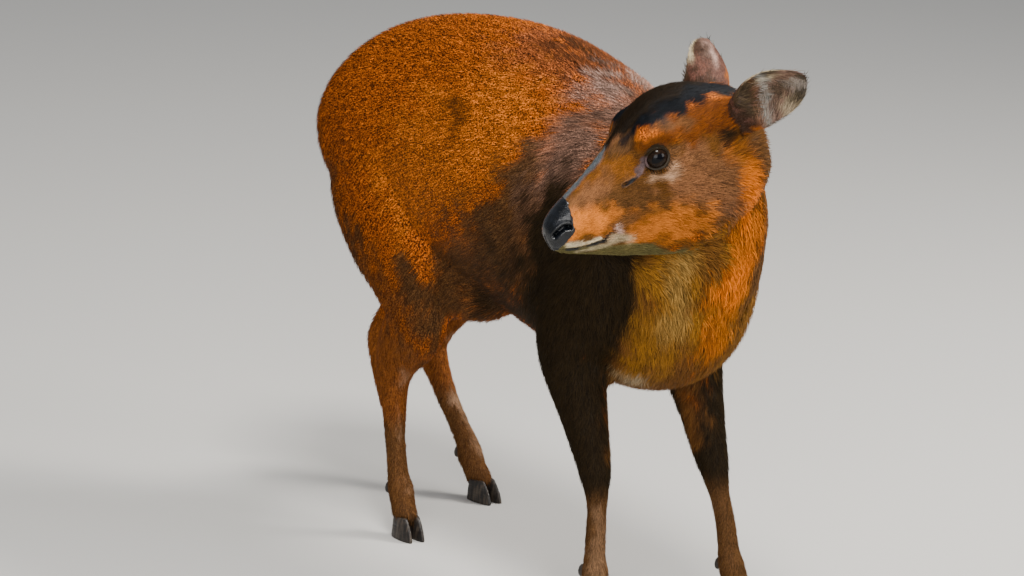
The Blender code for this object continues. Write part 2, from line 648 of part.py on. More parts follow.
def loose_pieces(mesh):
    """Vertex groups of a mesh that no edge joins."""
    bm = bmesh.new()
    bm.from_mesh(mesh)
    seen, groups = set(), []
    for start in bm.verts:
        if start in seen:
            continue
        seen.add(start)
        stack, group = [start], []
        while stack:
            v = stack.pop()
            group.append(v)
            for w in (e.other_vert(v) for e in v.link_edges):
                if w not in seen:
                    seen.add(w)
                    stack.append(w)
        groups.append(group)
    lumps = []
    for group in groups:
        faces = {f for v in group for f in v.link_faces}
        lump = bmesh.new()
        twin = {v: lump.verts.new(v.co) for v in group}
        for f in faces:
            lump.faces.new([twin[v] for v in f.verts])
        lump.normal_update()
        lumps.append((abs(lump.calc_volume()), sum((v.co for v in group), Vector()) / len(group), lump))
    bm.free()
    return sorted(lumps, key=lambda item: -item[0])


# Name the lumps, the largest nearest to each piece's middle; slivers are dropped
lumps = loose_pieces(body.data)
for volume, middle, lump in lumps:
    name = min(PIECES, key=lambda key: (Vector(PIECES[key]) - middle).length)
    if name in pieces or volume < SLIVER_VOLUME:
        lump.free()
        continue
    pieces[name] = new_object(name, lump)
bpy.data.objects.remove(body)

# Clothe every piece, and set the middle of the footprint on the origin
corners = np.array([v.co for obj in pieces.values() for v in obj.data.vertices])
middle = (corners.min(0) + corners.max(0)) / 2
for name, obj in pieces.items():
    kind = next(kind for kind in COVERING if kind in name)
    obj.data.transform(Matrix.Translation((-middle[0], -middle[1], -corners.min(0)[2])))
    obj.data.materials.append(material(*COVERING[kind]))
    obj.data.polygons.foreach_set("use_smooth", [True] * len(obj.data.polygons))
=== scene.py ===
"""The looks of a life-size muntjac doe that stands and looks back over her right shoulder.

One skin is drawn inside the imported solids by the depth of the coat, its face is worked finer, and the
coat is laid over it in thin tufts that follow the lie of the hair. Eyes, nose pad, ears and hooves are
pieces of their own. Metres, +Z up; the doe faces +X and her left side is +Y.
"""

from math import cos, pi, radians, sin

import bmesh
import bpy
import numpy as np
from mathutils import Matrix, Vector
from mathutils.kdtree import KDTree


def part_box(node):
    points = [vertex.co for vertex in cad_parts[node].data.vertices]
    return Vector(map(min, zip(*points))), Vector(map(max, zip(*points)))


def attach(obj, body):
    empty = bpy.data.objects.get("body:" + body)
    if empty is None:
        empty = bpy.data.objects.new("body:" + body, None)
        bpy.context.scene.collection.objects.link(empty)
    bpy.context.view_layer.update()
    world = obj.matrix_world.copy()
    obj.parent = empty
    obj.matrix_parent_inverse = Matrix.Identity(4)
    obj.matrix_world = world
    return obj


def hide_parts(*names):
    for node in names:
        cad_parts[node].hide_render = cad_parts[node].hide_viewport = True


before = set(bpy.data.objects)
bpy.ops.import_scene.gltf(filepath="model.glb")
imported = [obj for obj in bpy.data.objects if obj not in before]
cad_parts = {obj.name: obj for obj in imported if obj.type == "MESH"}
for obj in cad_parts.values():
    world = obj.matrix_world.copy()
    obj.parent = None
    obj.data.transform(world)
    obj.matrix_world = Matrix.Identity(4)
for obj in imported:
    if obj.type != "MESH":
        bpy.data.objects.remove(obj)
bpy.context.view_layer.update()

# Where the body and the head stand
# Places on the trunk and legs are given from a point on the floor between the feet, and places on the
# head from the base of the skull: forward to the nose, left, and up. Both are found from the eyes.
HEAD_YAW = radians(-102)
HEAD_PITCH = radians(19.6)
HEAD_ROLL = radians(2)
EYE_FORWARD = 0.0870
EYE_ASIDE = 0.0258
EYE_UP = 0.0160
HEAD_ON_BODY = Vector((0.379, -0.003, 0.464))


def middle(node):
    """The middle of a CAD node's box."""
    low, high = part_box(node)
    return (low + high) / 2


head_turn = (Matrix.Rotation(HEAD_YAW, 4, 'Z') @ Matrix.Rotation(HEAD_PITCH, 4, 'Y')
             @ Matrix.Rotation(HEAD_ROLL, 4, 'X'))
between_eyes = (middle("eye_left") + middle("eye_right")) / 2
head_place = Matrix.Translation(between_eyes) @ head_turn @ Matrix.Translation((-EYE_FORWARD, 0, -EYE_UP))
head_axes = np.array(head_turn.to_3x3())
head_base = np.array(head_place.translation)
body_base = head_base - np.array(HEAD_ON_BODY)


def in_head(points):
    """Places in the head's own frame."""
    return (points - head_base) @ head_axes


def from_head(points):
    """Places of the head's frame, in the model's."""
    return points @ head_axes.T + head_base


def eased(value):
    """0 to 1 with soft ends."""
    t = np.clip(value, 0, 1)
    return t * t * (3 - 2 * t)


def unit(vectors):
    """The same directions, each one long."""
    return vectors / np.maximum(np.linalg.norm(vectors, axis=-1, keepdims=True), 1e-9)


def ripple(points, wavelength, seed):
    """Smooth waves over space that repeat nowhere on the animal, about -1 to 1."""
    rng = np.random.default_rng(seed)
    total = np.zeros(len(points))
    for _ in range(6):
        way = unit(rng.normal(size=3)) * (2 * pi / wavelength) * rng.uniform(0.6, 1.6)
        total += np.sin(points @ way + rng.uniform(0, 2 * pi))
    return total / 2.6


# Lie of the coat
# The hair of a deer points back from the nose, along the trunk to the rump, and down every leg. Each
# row is a place, the way the hairs point, their length, and how far their tips stand off the skin.
TRUNK_LIE = [
    ((0.24, -0.030, 0.468), (-1.0, -0.20, -0.45), 0.015, 0.0034),
    ((0.15, 0.000, 0.498), (-1.0, 0.00, -0.20), 0.015, 0.0036),
    ((0.03, 0.000, 0.506), (-1.0, 0.00, -0.02), 0.015, 0.0036),
    ((-0.09, 0.000, 0.490), (-1.0, 0.00, -0.25), 0.015, 0.0038),
    ((-0.17, -0.030, 0.445), (-0.8, -0.10, -0.90), 0.016, 0.0040),
    ((0.15, -0.085, 0.440), (-1.0, -0.10, -0.55), 0.014, 0.0032),
    ((0.03, -0.095, 0.420), (-1.0, -0.10, -0.45), 0.014, 0.0032),
    ((-0.09, -0.090, 0.410), (-0.9, -0.10, -0.75), 0.014, 0.0032),
    ((0.22, -0.090, 0.380), (-0.7, 0.00, -1.00), 0.013, 0.0030),
    ((0.12, -0.100, 0.350), (-1.0, 0.00, -0.60), 0.014, 0.0032),
    ((0.03, -0.100, 0.330), (-1.0, 0.00, -0.60), 0.014, 0.0032),
    ((-0.06, -0.100, 0.350), (-0.7, 0.00, -1.00), 0.014, 0.0032),
    ((-0.15, -0.080, 0.350), (-0.35, 0.00, -1.00), 0.015, 0.0036),
    ((-0.19, -0.040, 0.370), (-0.10, 0.10, -1.00), 0.016, 0.0040),
    ((0.25, -0.090, 0.320), (-0.35, 0.00, -1.00), 0.012, 0.0028),
    ((0.25, -0.090, 0.260), (-0.20, 0.00, -1.00), 0.011, 0.0026),
    ((0.29, -0.080, 0.290), (-0.10, 0.10, -1.00), 0.012, 0.0028),
    ((0.12, -0.060, 0.260), (-1.0, 0.10, -0.20), 0.015, 0.0034),
    ((0.10, 0.000, 0.240), (-1.0, 0.00, -0.05), 0.015, 0.0034),
    ((0.22, 0.000, 0.212), (-1.0, 0.00, -0.10), 0.014, 0.0034),
    ((0.03, -0.085, 0.270), (-0.6, 0.00, -1.00), 0.013, 0.0030),
    ((-0.05, -0.105, 0.280), (-0.25, 0.00, -1.00), 0.012, 0.0028),
    ((-0.10, -0.085, 0.290), (-0.10, 0.00, -1.00), 0.014, 0.0034),
    ((0.00, -0.100, 0.230), (-0.25, 0.00, -1.00), 0.010, 0.0024),
    ((0.34, -0.060, 0.290), (0.00, 0.20, -1.00), 0.016, 0.0040),
    ((0.36, 0.000, 0.260), (-0.20, 0.00, -1.00), 0.016, 0.0042),
    ((0.30, -0.040, 0.225), (-0.70, 0.10, -0.80), 0.014, 0.0036),
    ((0.38, -0.030, 0.330), (-0.05, 0.10, -1.00), 0.018, 0.0044),
    ((0.40, 0.000, 0.380), (0.00, 0.10, -1.00), 0.017, 0.0042),
    ((0.31, -0.050, 0.400), (-0.30, 0.30, -1.00), 0.016, 0.0038),
    ((0.37, 0.045, 0.400), (-0.20, 0.10, -1.00), 0.016, 0.0038),
    ((0.30, 0.040, 0.440), (-0.80, 0.10, -0.70), 0.015, 0.0036),
]
LEG_LIE = [
    ("foreleg", (-0.05, 0.0, -1.0), 0.009, 0.0020),
    ("forefoot", (0.00, 0.0, -1.0), 0.0065, 0.0014),
    ("hindleg", (-0.05, 0.0, -1.0), 0.009, 0.0020),
    ("hindfoot", (0.00, 0.0, -1.0), 0.0065, 0.0014),
]
TAIL_LIE = ((-0.15, 0.0, -1.0), 0.022, 0.0042)
HEAD_LIE = [
    ((0.178, 0.000, 0.004), (-1.0, 0.00, 0.35), 0.0028, 0.0004),
    ((0.150, 0.000, 0.017), (-1.0, 0.00, 0.40), 0.0038, 0.0006),
    ((0.115, 0.000, 0.038), (-1.0, 0.00, 0.60), 0.0055, 0.0010),
    ((0.075, 0.000, 0.063), (-1.0, 0.05, 0.20), 0.0080, 0.0016),
    ((0.030, 0.000, 0.062), (-1.0, 0.05, -0.20), 0.0090, 0.0018),
    ((0.000, 0.000, 0.045), (-0.9, 0.05, -0.50), 0.0100, 0.0024),
    ((0.175, 0.014, -0.020), (-1.0, 0.25, 0.05), 0.0030, 0.0005),
    ((0.150, 0.019, -0.010), (-1.0, 0.25, 0.10), 0.0042, 0.0008),
    ((0.128, 0.022, 0.008), (-1.0, 0.15, 0.30), 0.0045, 0.0008),
    ((0.120, 0.026, -0.015), (-1.0, 0.15, -0.10), 0.0058, 0.0011),
    ((0.100, 0.032, -0.010), (-1.0, 0.15, -0.25), 0.0060, 0.0010),
    ((0.095, 0.034, 0.037), (-1.0, 0.15, 0.40), 0.0048, 0.0008),
    ((0.072, 0.036, 0.036), (-1.0, 0.15, 0.30), 0.0060, 0.0011),
    ((0.055, 0.040, 0.010), (-1.0, 0.10, 0.10), 0.0068, 0.0013),
    ((0.060, 0.040, -0.020), (-1.0, 0.10, -0.35), 0.0085, 0.0018),
    ((0.080, 0.034, -0.045), (-1.0, 0.05, -0.60), 0.0090, 0.0020),
    ((0.030, 0.040, -0.030), (-1.0, 0.05, -0.60), 0.0110, 0.0024),
    ((0.020, 0.042, 0.020), (-0.8, 0.50, 0.40), 0.0080, 0.0016),
    ((0.010, 0.028, 0.045), (-0.8, 0.40, 0.30), 0.0085, 0.0018),
    ((0.140, 0.018, -0.048), (-1.0, 0.10, -0.20), 0.0050, 0.0010),
    ((0.170, 0.006, -0.046), (-1.0, 0.05, -0.15), 0.0038, 0.0007),
    ((0.110, 0.000, -0.072), (-1.0, 0.00, -0.25), 0.0080, 0.0018),
    ((0.060, 0.000, -0.080), (-1.0, 0.00, -0.60), 0.0120, 0.0028),
    ((0.015, 0.030, -0.060), (-0.7, 0.00, -1.00), 0.0140, 0.0034),
]
SPREAD_OF_A_ROW = 0.012
PLACES_AT_ONCE = 20000


def lie_rows():
    """Every row of the tables in the model's frame, with its twin on the other side."""
    rows = []
    for place, way, length, rise in TRUNK_LIE:
        for side in ((1, -1) if place[1] else (1,)):
            flip = np.array((1, side, 1))
            rows.append((np.array(place) * flip + body_base, np.array(way) * flip, length, rise))
    for place, way, length, rise in HEAD_LIE:
        for side in (1, -1):
            flip = np.array((1, side, 1))
            pointing = head_axes @ (np.array(way) * flip)
            rows.append((from_head(np.array(place) * flip), pointing, length, rise))
    for part, way, length, rise in LEG_LIE:
        for flank in ("left", "right"):
            low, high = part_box(part + "_" + flank)
            for share in (0.15, 0.5, 0.85):
                spot = np.array(middle(part + "_" + flank))
                spot[2] = low.z + (high.z - low.z) * share
                rows.append((spot, np.array(way), length, rise))
    for share in (0.2, 0.8):
        spot = np.array(middle("tail"))
        spot[2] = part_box("tail")[0].z * (1 - share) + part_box("tail")[1].z * share
        rows.append((spot, np.array(TAIL_LIE[0]), TAIL_LIE[1], TAIL_LIE[2]))
    return rows


coat_rows = lie_rows()
row_places = np.array([row[0] for row in coat_rows])
row_ways = unit(np.array([row[1] for row in coat_rows]))
row_sizes = np.array([row[2:] for row in coat_rows])


def lie_at(points):
    """Way, length and rise of the hair at places on the skin."""
    way, size = np.empty((len(points), 3)), np.empty((len(points), 2))
    for start in range(0, len(points), PLACES_AT_ONCE):
        some = slice(start, start + PLACES_AT_ONCE)
        gap = ((points[some, None, :] - row_places[None]) ** 2).sum(2)
        share = 1 / (gap + SPREAD_OF_A_ROW ** 2) ** 2
        share /= share.sum(1, keepdims=True)
        way[some] = share @ row_ways
        size[some] = share @ row_sizes
    return unit(way), size[:, 0], size[:, 1]


# Markings
# The coat's colours, and where each lies: a patch runs along a line between two places, with a radius
# and a soft edge. The last number is how strongly the hairs there are banded with black.
# Some patches are painted sheen, painted light and painted shade over the coat's own colour, as noted at
# each.
HAIR = {
    "chestnut": (0.68, 0.158, 0.011),
    "flame": (0.68, 0.160, 0.004),
    "amber_lit": (0.86, 0.230, 0.021),
    "russet_sheen": (0.36, 0.110, 0.045),
    "orange": (0.42, 0.115, 0.007),
    "rust": (0.128, 0.033, 0.003),
    "peach": (0.56, 0.160, 0.018),
    "ochre": (0.110, 0.043, 0.007),
    "khaki": (0.240, 0.104, 0.012),
    "hay_lit": (0.280, 0.158, 0.040),
    "sepia": (0.130, 0.052, 0.012),
    "tan": (0.30, 0.160, 0.050),
    "fawn": (0.37, 0.220, 0.128),
    "rosy": (0.225, 0.094, 0.038),
    "dusky": (0.225, 0.125, 0.088),
    "brown": (0.115, 0.052, 0.017),
    "umber": (0.018, 0.0108, 0.0040),
    "ebony": (0.009, 0.0052, 0.0022),
    "soot": (0.0030, 0.0040, 0.0058),
    "cream": (0.52, 0.43, 0.27),
    "straw_shaded": (0.105, 0.088, 0.031),
    "ash": (0.30, 0.29, 0.26),
    "frost_and_sheen": (0.48, 0.32, 0.26),
    "grizzle": (0.120, 0.050, 0.034),
    "mauve": (0.080, 0.050, 0.050),
    "slate_sheen": (0.074, 0.082, 0.088),
}
# colour, from, to, radius, soft edge, strength, banding
TRUNK_MARKS = [
    ("sepia", (0.340, -0.030, 0.340), (0.305, -0.030, 0.240), 0.044, 0.020, 1.0, 0.10),
    # partly painted sheen: pinkish russet along the top of the back, where light glances off the hair
    ("russet_sheen", (0.25, 0.0, 0.475), (0.12, -0.030, 0.490), 0.020, 0.050, 0.65, 0.90),
    ("umber", (0.13, 0.014, 0.498), (0.225, 0.014, 0.480), 0.003, 0.028, 0.70, 0.50),
    # painted sheen: a pale pinkish patch on top of the withers, where light glances off the hair
    ("frost_and_sheen", (0.210, -0.026, 0.474), (0.245, -0.024, 0.464), 0.003, 0.032, 0.58, 0.60),
    # partly painted light: a brighter amber strip along the middle of the flank, where the light falls
    # most
    ("amber_lit", (0.13, -0.090, 0.430), (0.02, -0.100, 0.370), 0.034, 0.050, 0.92, 0.90),
    ("umber", (0.072, -0.087, 0.440), (0.086, -0.090, 0.424), 0.004, 0.016, 0.70, 0.60),
    # partly painted sheen: greyish pink on the shoulder below the withers, where light glances off the
    # hair
    ("dusky", (0.238, -0.055, 0.445), (0.203, -0.085, 0.400), 0.018, 0.026, 0.88, 0.40),
    ("umber", (0.250, -0.045, 0.455), (0.222, -0.060, 0.450), 0.003, 0.014, 0.65, 0.10),
    ("brown", (0.197, -0.090, 0.388), (0.172, -0.097, 0.330), 0.018, 0.036, 0.92, 0.55),
    ("brown", (0.165, -0.097, 0.320), (0.085, -0.092, 0.262), 0.034, 0.045, 0.88, 0.60),
    ("brown", (0.085, -0.095, 0.275), (0.050, -0.094, 0.245), 0.020, 0.040, 0.75, 0.60),
    ("brown", (0.215, -0.092, 0.360), (0.195, -0.092, 0.250), 0.022, 0.030, 0.92, 0.50),
    # partly painted highlights: greyish pink and rosy strokes down the front of the shoulder, where the
    # light catches the hair
    ("dusky", (0.242, -0.066, 0.425), (0.214, -0.090, 0.372), 0.015, 0.022, 0.88, 0.62),
    ("rosy", (0.214, -0.090, 0.372), (0.202, -0.094, 0.310), 0.008, 0.024, 0.70, 0.62),
    ("umber", (0.20, -0.090, 0.285), (0.14, -0.085, 0.248), 0.020, 0.040, 0.85, 0.20),
    ("umber", (0.252, -0.090, 0.350), (0.252, -0.090, 0.235), 0.042, 0.034, 1.0, 0.12),
    ("umber", (0.300, -0.085, 0.355), (0.294, -0.084, 0.300), 0.036, 0.016, 1.0, 0.0),
    ("umber", (0.292, -0.082, 0.300), (0.284, -0.080, 0.262), 0.026, 0.020, 1.0, 0.0),
    ("umber", (0.250, -0.080, 0.240), (0.268, -0.072, 0.160), 0.032, 0.016, 1.0, 0.10),
    ("sepia", (0.275, -0.036, 0.215), (0.287, -0.046, 0.160), 0.005, 0.012, 0.85, 0.10),
    # partly painted shade: darker brown on the rear and the low front of the haunch, which turn away from
    # the light
    ("brown", (-0.195, -0.040, 0.360), (-0.10, -0.080, 0.270), 0.020, 0.050, 0.80, 0.80),
    ("brown", (-0.06, -0.095, 0.260), (0.02, -0.090, 0.225), 0.016, 0.045, 0.70, 0.70),
    ("tan", (0.20, 0.0, 0.205), (-0.02, 0.0, 0.242), 0.026, 0.026, 0.90, 0.0),
    ("cream", (-0.10, 0.0, 0.300), (-0.03, -0.018, 0.235), 0.018, 0.024, 0.95, 0.0),
    ("fawn", (0.305, -0.066, 0.100), (0.302, -0.066, 0.050), 0.004, 0.012, 0.28, 0.0),
    ("fawn", (-0.008, -0.072, 0.175), (-0.012, -0.071, 0.100), 0.002, 0.008, 0.50, 0.0),
    ("fawn", (-0.012, -0.071, 0.100), (0.004, -0.072, 0.050), 0.002, 0.008, 0.50, 0.0),
    ("fawn", (-0.142, 0.072, 0.165), (-0.124, 0.071, 0.095), 0.002, 0.008, 0.50, 0.0),
    ("fawn", (-0.124, 0.071, 0.095), (-0.084, 0.072, 0.050), 0.002, 0.008, 0.50, 0.0),
]
# The turned neck and the throat, which aren't alike on both sides
THROAT_MARKS = [
    ("khaki", (0.362, -0.048, 0.350), (0.338, -0.020, 0.250), 0.022, 0.018, 1.0, 0.15),
    ("khaki", (0.378, -0.020, 0.380), (0.355, -0.005, 0.270), 0.026, 0.026, 1.0, 0.20),
    ("khaki", (0.334, -0.044, 0.268), (0.300, -0.028, 0.225), 0.016, 0.018, 1.0, 0.10),
    # painted light: a paler strip at the top of the throat, lifting the shadow that the jaw casts there
    ("hay_lit", (0.366, -0.046, 0.348), (0.358, -0.042, 0.290), 0.003, 0.020, 0.85, 0.15),
    ("sepia", (0.384, -0.022, 0.372), (0.376, -0.020, 0.318), 0.006, 0.016, 0.75, 0.20),
    ("sepia", (0.368, 0.000, 0.250), (0.300, 0.000, 0.208), 0.016, 0.040, 0.92, 0.15),
    ("orange", (0.384, 0.004, 0.325), (0.366, 0.006, 0.275), 0.010, 0.022, 0.75, 0.15),
    ("flame", (0.400, 0.012, 0.376), (0.391, 0.004, 0.328), 0.008, 0.020, 1.0, 0.08),
    ("orange", (0.392, 0.006, 0.440), (0.400, 0.008, 0.380), 0.016, 0.024, 0.95, 0.12),
    ("brown", (0.374, 0.048, 0.400), (0.362, 0.046, 0.300), 0.012, 0.020, 0.95, 0.25),
    ("brown", (0.362, 0.046, 0.300), (0.350, 0.038, 0.258), 0.008, 0.022, 0.90, 0.25),
    ("umber", (0.26, 0.0, 0.478), (0.345, 0.040, 0.452), 0.012, 0.024, 0.85, 0.10),
    ("brown", (0.31, 0.060, 0.410), (0.35, 0.055, 0.340), 0.014, 0.040, 0.80, 0.30),
    ("khaki", (0.345, 0.048, 0.300), (0.315, 0.040, 0.235), 0.010, 0.030, 0.70, 0.20),
    ("cream", (0.292, -0.044, 0.233), (0.306, -0.034, 0.227), 0.002, 0.014, 0.50, 0.0),
]
HEAD_MARKS = [
    ("ochre", (0.018, 0.0, -0.010), (0.185, 0.0, -0.020), 0.056, 0.016, 1.0, 0.18),
    ("orange", (0.158, 0.0, 0.006), (0.120, 0.024, 0.016), 0.004, 0.012, 0.20, 0.10),
    ("brown", (0.150, 0.016, -0.002), (0.104, 0.032, -0.022), 0.007, 0.018, 0.60, 0.25),
    ("rosy", (0.066, 0.040, -0.006), (0.026, 0.040, -0.045), 0.018, 0.020, 0.90, 0.30),
    ("brown", (0.050, 0.043, -0.004), (0.022, 0.044, -0.030), 0.005, 0.018, 0.45, 0.30),
    ("flame", (0.012, 0.032, -0.030), (0.012, 0.022, -0.075), 0.007, 0.012, 0.95, 0.12),
    ("orange", (0.020, 0.046, 0.000), (0.010, 0.040, -0.024), 0.005, 0.012, 0.60, 0.15),
    ("brown", (-0.004, 0.034, -0.006), (-0.010, 0.030, -0.036), 0.003, 0.010, 0.80, 0.10),
    ("peach", (0.118, 0.024, -0.044), (0.074, 0.034, -0.050), 0.006, 0.020, 0.88, 0.18),
    ("peach", (0.172, 0.015, -0.018), (0.148, 0.021, -0.022), 0.006, 0.013, 0.95, 0.05),
    ("rosy", (0.163, 0.010, -0.002), (0.145, 0.016, 0.004), 0.003, 0.010, 0.60, 0.10),
    ("brown", (0.146, 0.023, -0.028), (0.118, 0.028, -0.030), 0.0012, 0.006, 0.90, 0.10),
    ("rust", (0.064, 0.036, 0.040), (0.016, 0.040, 0.034), 0.013, 0.012, 1.0, 0.22),
    ("brown", (0.086, 0.032, 0.044), (0.054, 0.037, 0.037), 0.003, 0.007, 0.75, 0.15),
    ("rust", (0.106, 0.032, 0.031), (0.074, 0.037, 0.029), 0.003, 0.005, 0.80, 0.05),
    ("umber", (0.026, 0.045, 0.014), (0.019, 0.047, 0.008), 0.003, 0.008, 0.95, 0.0),
    ("ebony", (0.106, 0.0, 0.044), (0.040, 0.0, 0.062), 0.0225, 0.006, 1.0, 0.12),
    ("ebony", (0.040, 0.0, 0.062), (0.000, 0.0, 0.055), 0.015, 0.010, 1.0, 0.12),
    ("rosy", (0.134, 0.004, 0.027), (0.112, 0.008, 0.040), 0.0016, 0.004, 0.75, 0.0),
    ("brown", (0.117, 0.012, 0.031), (0.102, 0.0195, 0.040), 0.003, 0.007, 0.80, 0.0),
    ("soot", (0.110, 0.014, 0.036), (0.100, 0.0195, 0.042), 0.0008, 0.005, 0.85, 0.0),
    ("soot", (0.100, 0.0195, 0.042), (0.090, 0.0255, 0.048), 0.0030, 0.007, 1.0, 0.0),
    ("soot", (0.090, 0.0255, 0.048), (0.052, 0.0235, 0.053), 0.0042, 0.008, 1.0, 0.0),
    ("soot", (0.052, 0.0235, 0.053), (0.036, 0.018, 0.056), 0.0050, 0.008, 1.0, 0.0),
    ("soot", (0.036, 0.018, 0.056), (0.000, 0.006, 0.050), 0.0055, 0.006, 1.0, 0.0),
    ("soot", (0.004, 0.0, 0.052), (-0.020, 0.0, 0.030), 0.014, 0.012, 0.95, 0.0),
    # painted sheen: a thin grey-blue line where light catches the top of the nose bridge
    ("slate_sheen", (0.174, 0.0, 0.003), (0.128, 0.0, 0.031), 0.0032, 0.004, 1.0, 0.0),
    # painted shade and painted green bounce light: the pale chin and the band behind it are dimmed to a
    # dull greenish straw
    ("straw_shaded", (0.186, 0.003, -0.046), (0.120, 0.006, -0.068), 0.0146, 0.003, 0.97, 0.0),
    ("straw_shaded", (0.120, 0.004, -0.071), (0.088, 0.002, -0.084), 0.0060, 0.010, 0.85, 0.0),
    ("cream", (0.184, 0.013, -0.0345), (0.157, 0.018, -0.0385), 0.0012, 0.0032, 0.85, 0.0),
    ("cream", (0.178, 0.010, -0.0440), (0.140, 0.018, -0.0460), 0.0010, 0.0034, 0.50, 0.0),
    ("cream", (0.146, 0.0205, -0.0400), (0.134, 0.020, -0.0460), 0.0020, 0.0050, 0.65, 0.0),
    ("frost_and_sheen", (0.1395, 0.0225, -0.032), (0.138, 0.0225, -0.037), 0.0012, 0.003, 0.85, 0.0),
    ("soot", (0.188, 0.009, -0.0375), (0.176, 0.0135, -0.0395), 0.0011, 0.0016, 0.97, 0.0),
    ("soot", (0.176, 0.0135, -0.0395), (0.154, 0.0185, -0.0405), 0.0011, 0.0016, 0.97, 0.0),
    ("soot", (0.154, 0.0185, -0.0405), (0.1440, 0.022, -0.0340), 0.0011, 0.0016, 0.97, 0.0),
    ("brown", (0.1440, 0.022, -0.0340), (0.1470, 0.0232, -0.0270), 0.0006, 0.0018, 0.85, 0.0),
    ("brown", (0.136, 0.024, -0.034), (0.106, 0.026, -0.055), 0.0008, 0.0040, 0.60, 0.0),
    ("fawn", (0.099, 0.032, 0.0015), (0.088, 0.035, -0.002), 0.0026, 0.0045, 0.85, 0.0),
    ("fawn", (0.088, 0.035, -0.002), (0.0785, 0.037, 0.005), 0.0020, 0.0055, 0.62, 0.0),
    ("fawn", (0.0785, 0.037, 0.005), (0.0725, 0.037, 0.020), 0.0010, 0.0055, 0.22, 0.0),
    ("umber", (0.0915, 0.0355, 0.0165), (0.0890, 0.0355, 0.0172), 0.0110, 0.0022, 1.0, 0.0),
    ("mauve", (0.1025, 0.0315, 0.0165), (0.1075, 0.0310, 0.0105), 0.0034, 0.0030, 1.0, 0.0),
    ("soot", (0.1045, 0.034, 0.0085), (0.1075, 0.033, 0.0070), 0.0006, 0.0012, 0.90, 0.0),
    ("soot", (0.107, 0.033, 0.0070), (0.123, 0.0250, 0.0020), 0.0013, 0.0013, 1.0, 0.0),
]
LEG_REACH = 0.09             # how far the colours of shin and pastern reach from a leg's middle line
EDGE_WAVER = 0.35            # how far a patch's edge wavers, as a share of its softness
# Bare skin on the head: from, to, radius, soft edge
BARE = [
    ((0.0915, 0.0355, 0.0165), (0.0890, 0.0355, 0.0172), 0.0112, 0.0024),
    ((0.1025, 0.0315, 0.0165), (0.1075, 0.0310, 0.0105), 0.0034, 0.0026),
    ((0.106, 0.033, 0.0080), (0.122, 0.0255, 0.0025), 0.0024, 0.0018),
    ((0.188, 0.009, -0.0375), (0.176, 0.0135, -0.0395), 0.0014, 0.0014),
    ((0.176, 0.0135, -0.0395), (0.154, 0.0185, -0.0405), 0.0013, 0.0014),
    ((0.154, 0.0185, -0.0405), (0.1445, 0.0220, -0.0345), 0.0012, 0.0014),
]
# The pad of the nose: near its middle, ahead of one plane and above the edge of the lip
NOSE_MIDDLE = np.array((0.190, 0.0, -0.018))
NOSE_REAR = (np.array((0.1738, 0.0, -0.0120)), unit(np.array((1.0, 0.0, 0.154))))
NOSE_LIP = (np.array((0.1815, 0.0, -0.0280)), unit(np.array((0.61, 0.0, 0.79))))


def near_line(points, start, end):
    """Distance from each point to a straight line between two places."""
    start, end = np.array(start, float), np.array(end, float)
    span = end - start
    share = np.clip(((points - start) @ span) / max(span @ span, 1e-12), 0, 1)
    return np.linalg.norm(points - start - share[:, None] * span, axis=1)


def painted(colours, points, waver, marks, both_sides=True):
    """Lay one table of patches over the colours, on both sides alike or as they stand."""
    for name, start, end, radius, soft, strength, banding in marks:
        for side in ((1, -1) if both_sides and (start[1] or end[1]) else (1,)):
            flip = np.array((1, side, 1))
            gap = near_line(points, np.array(start) * flip, np.array(end) * flip)
            cover = eased(1 + (radius - gap) / soft + waver * EDGE_WAVER) * strength
            colours += (np.array((*HAIR[name], banding)) - colours) * cover[:, None]


def nose_cover(local):
    """1 on the moist pad of the nose, 0 where hair begins."""
    ahead = (local - NOSE_REAR[0]) @ NOSE_REAR[1]
    above = (local - NOSE_LIP[0]) @ NOSE_LIP[1]
    within = np.minimum(ahead, above) + 0.0006 * ripple(local, 0.006, 12)
    close = np.linalg.norm(local - NOSE_MIDDLE, axis=1) < 0.030
    return eased(0.5 + within / 0.0012) * close


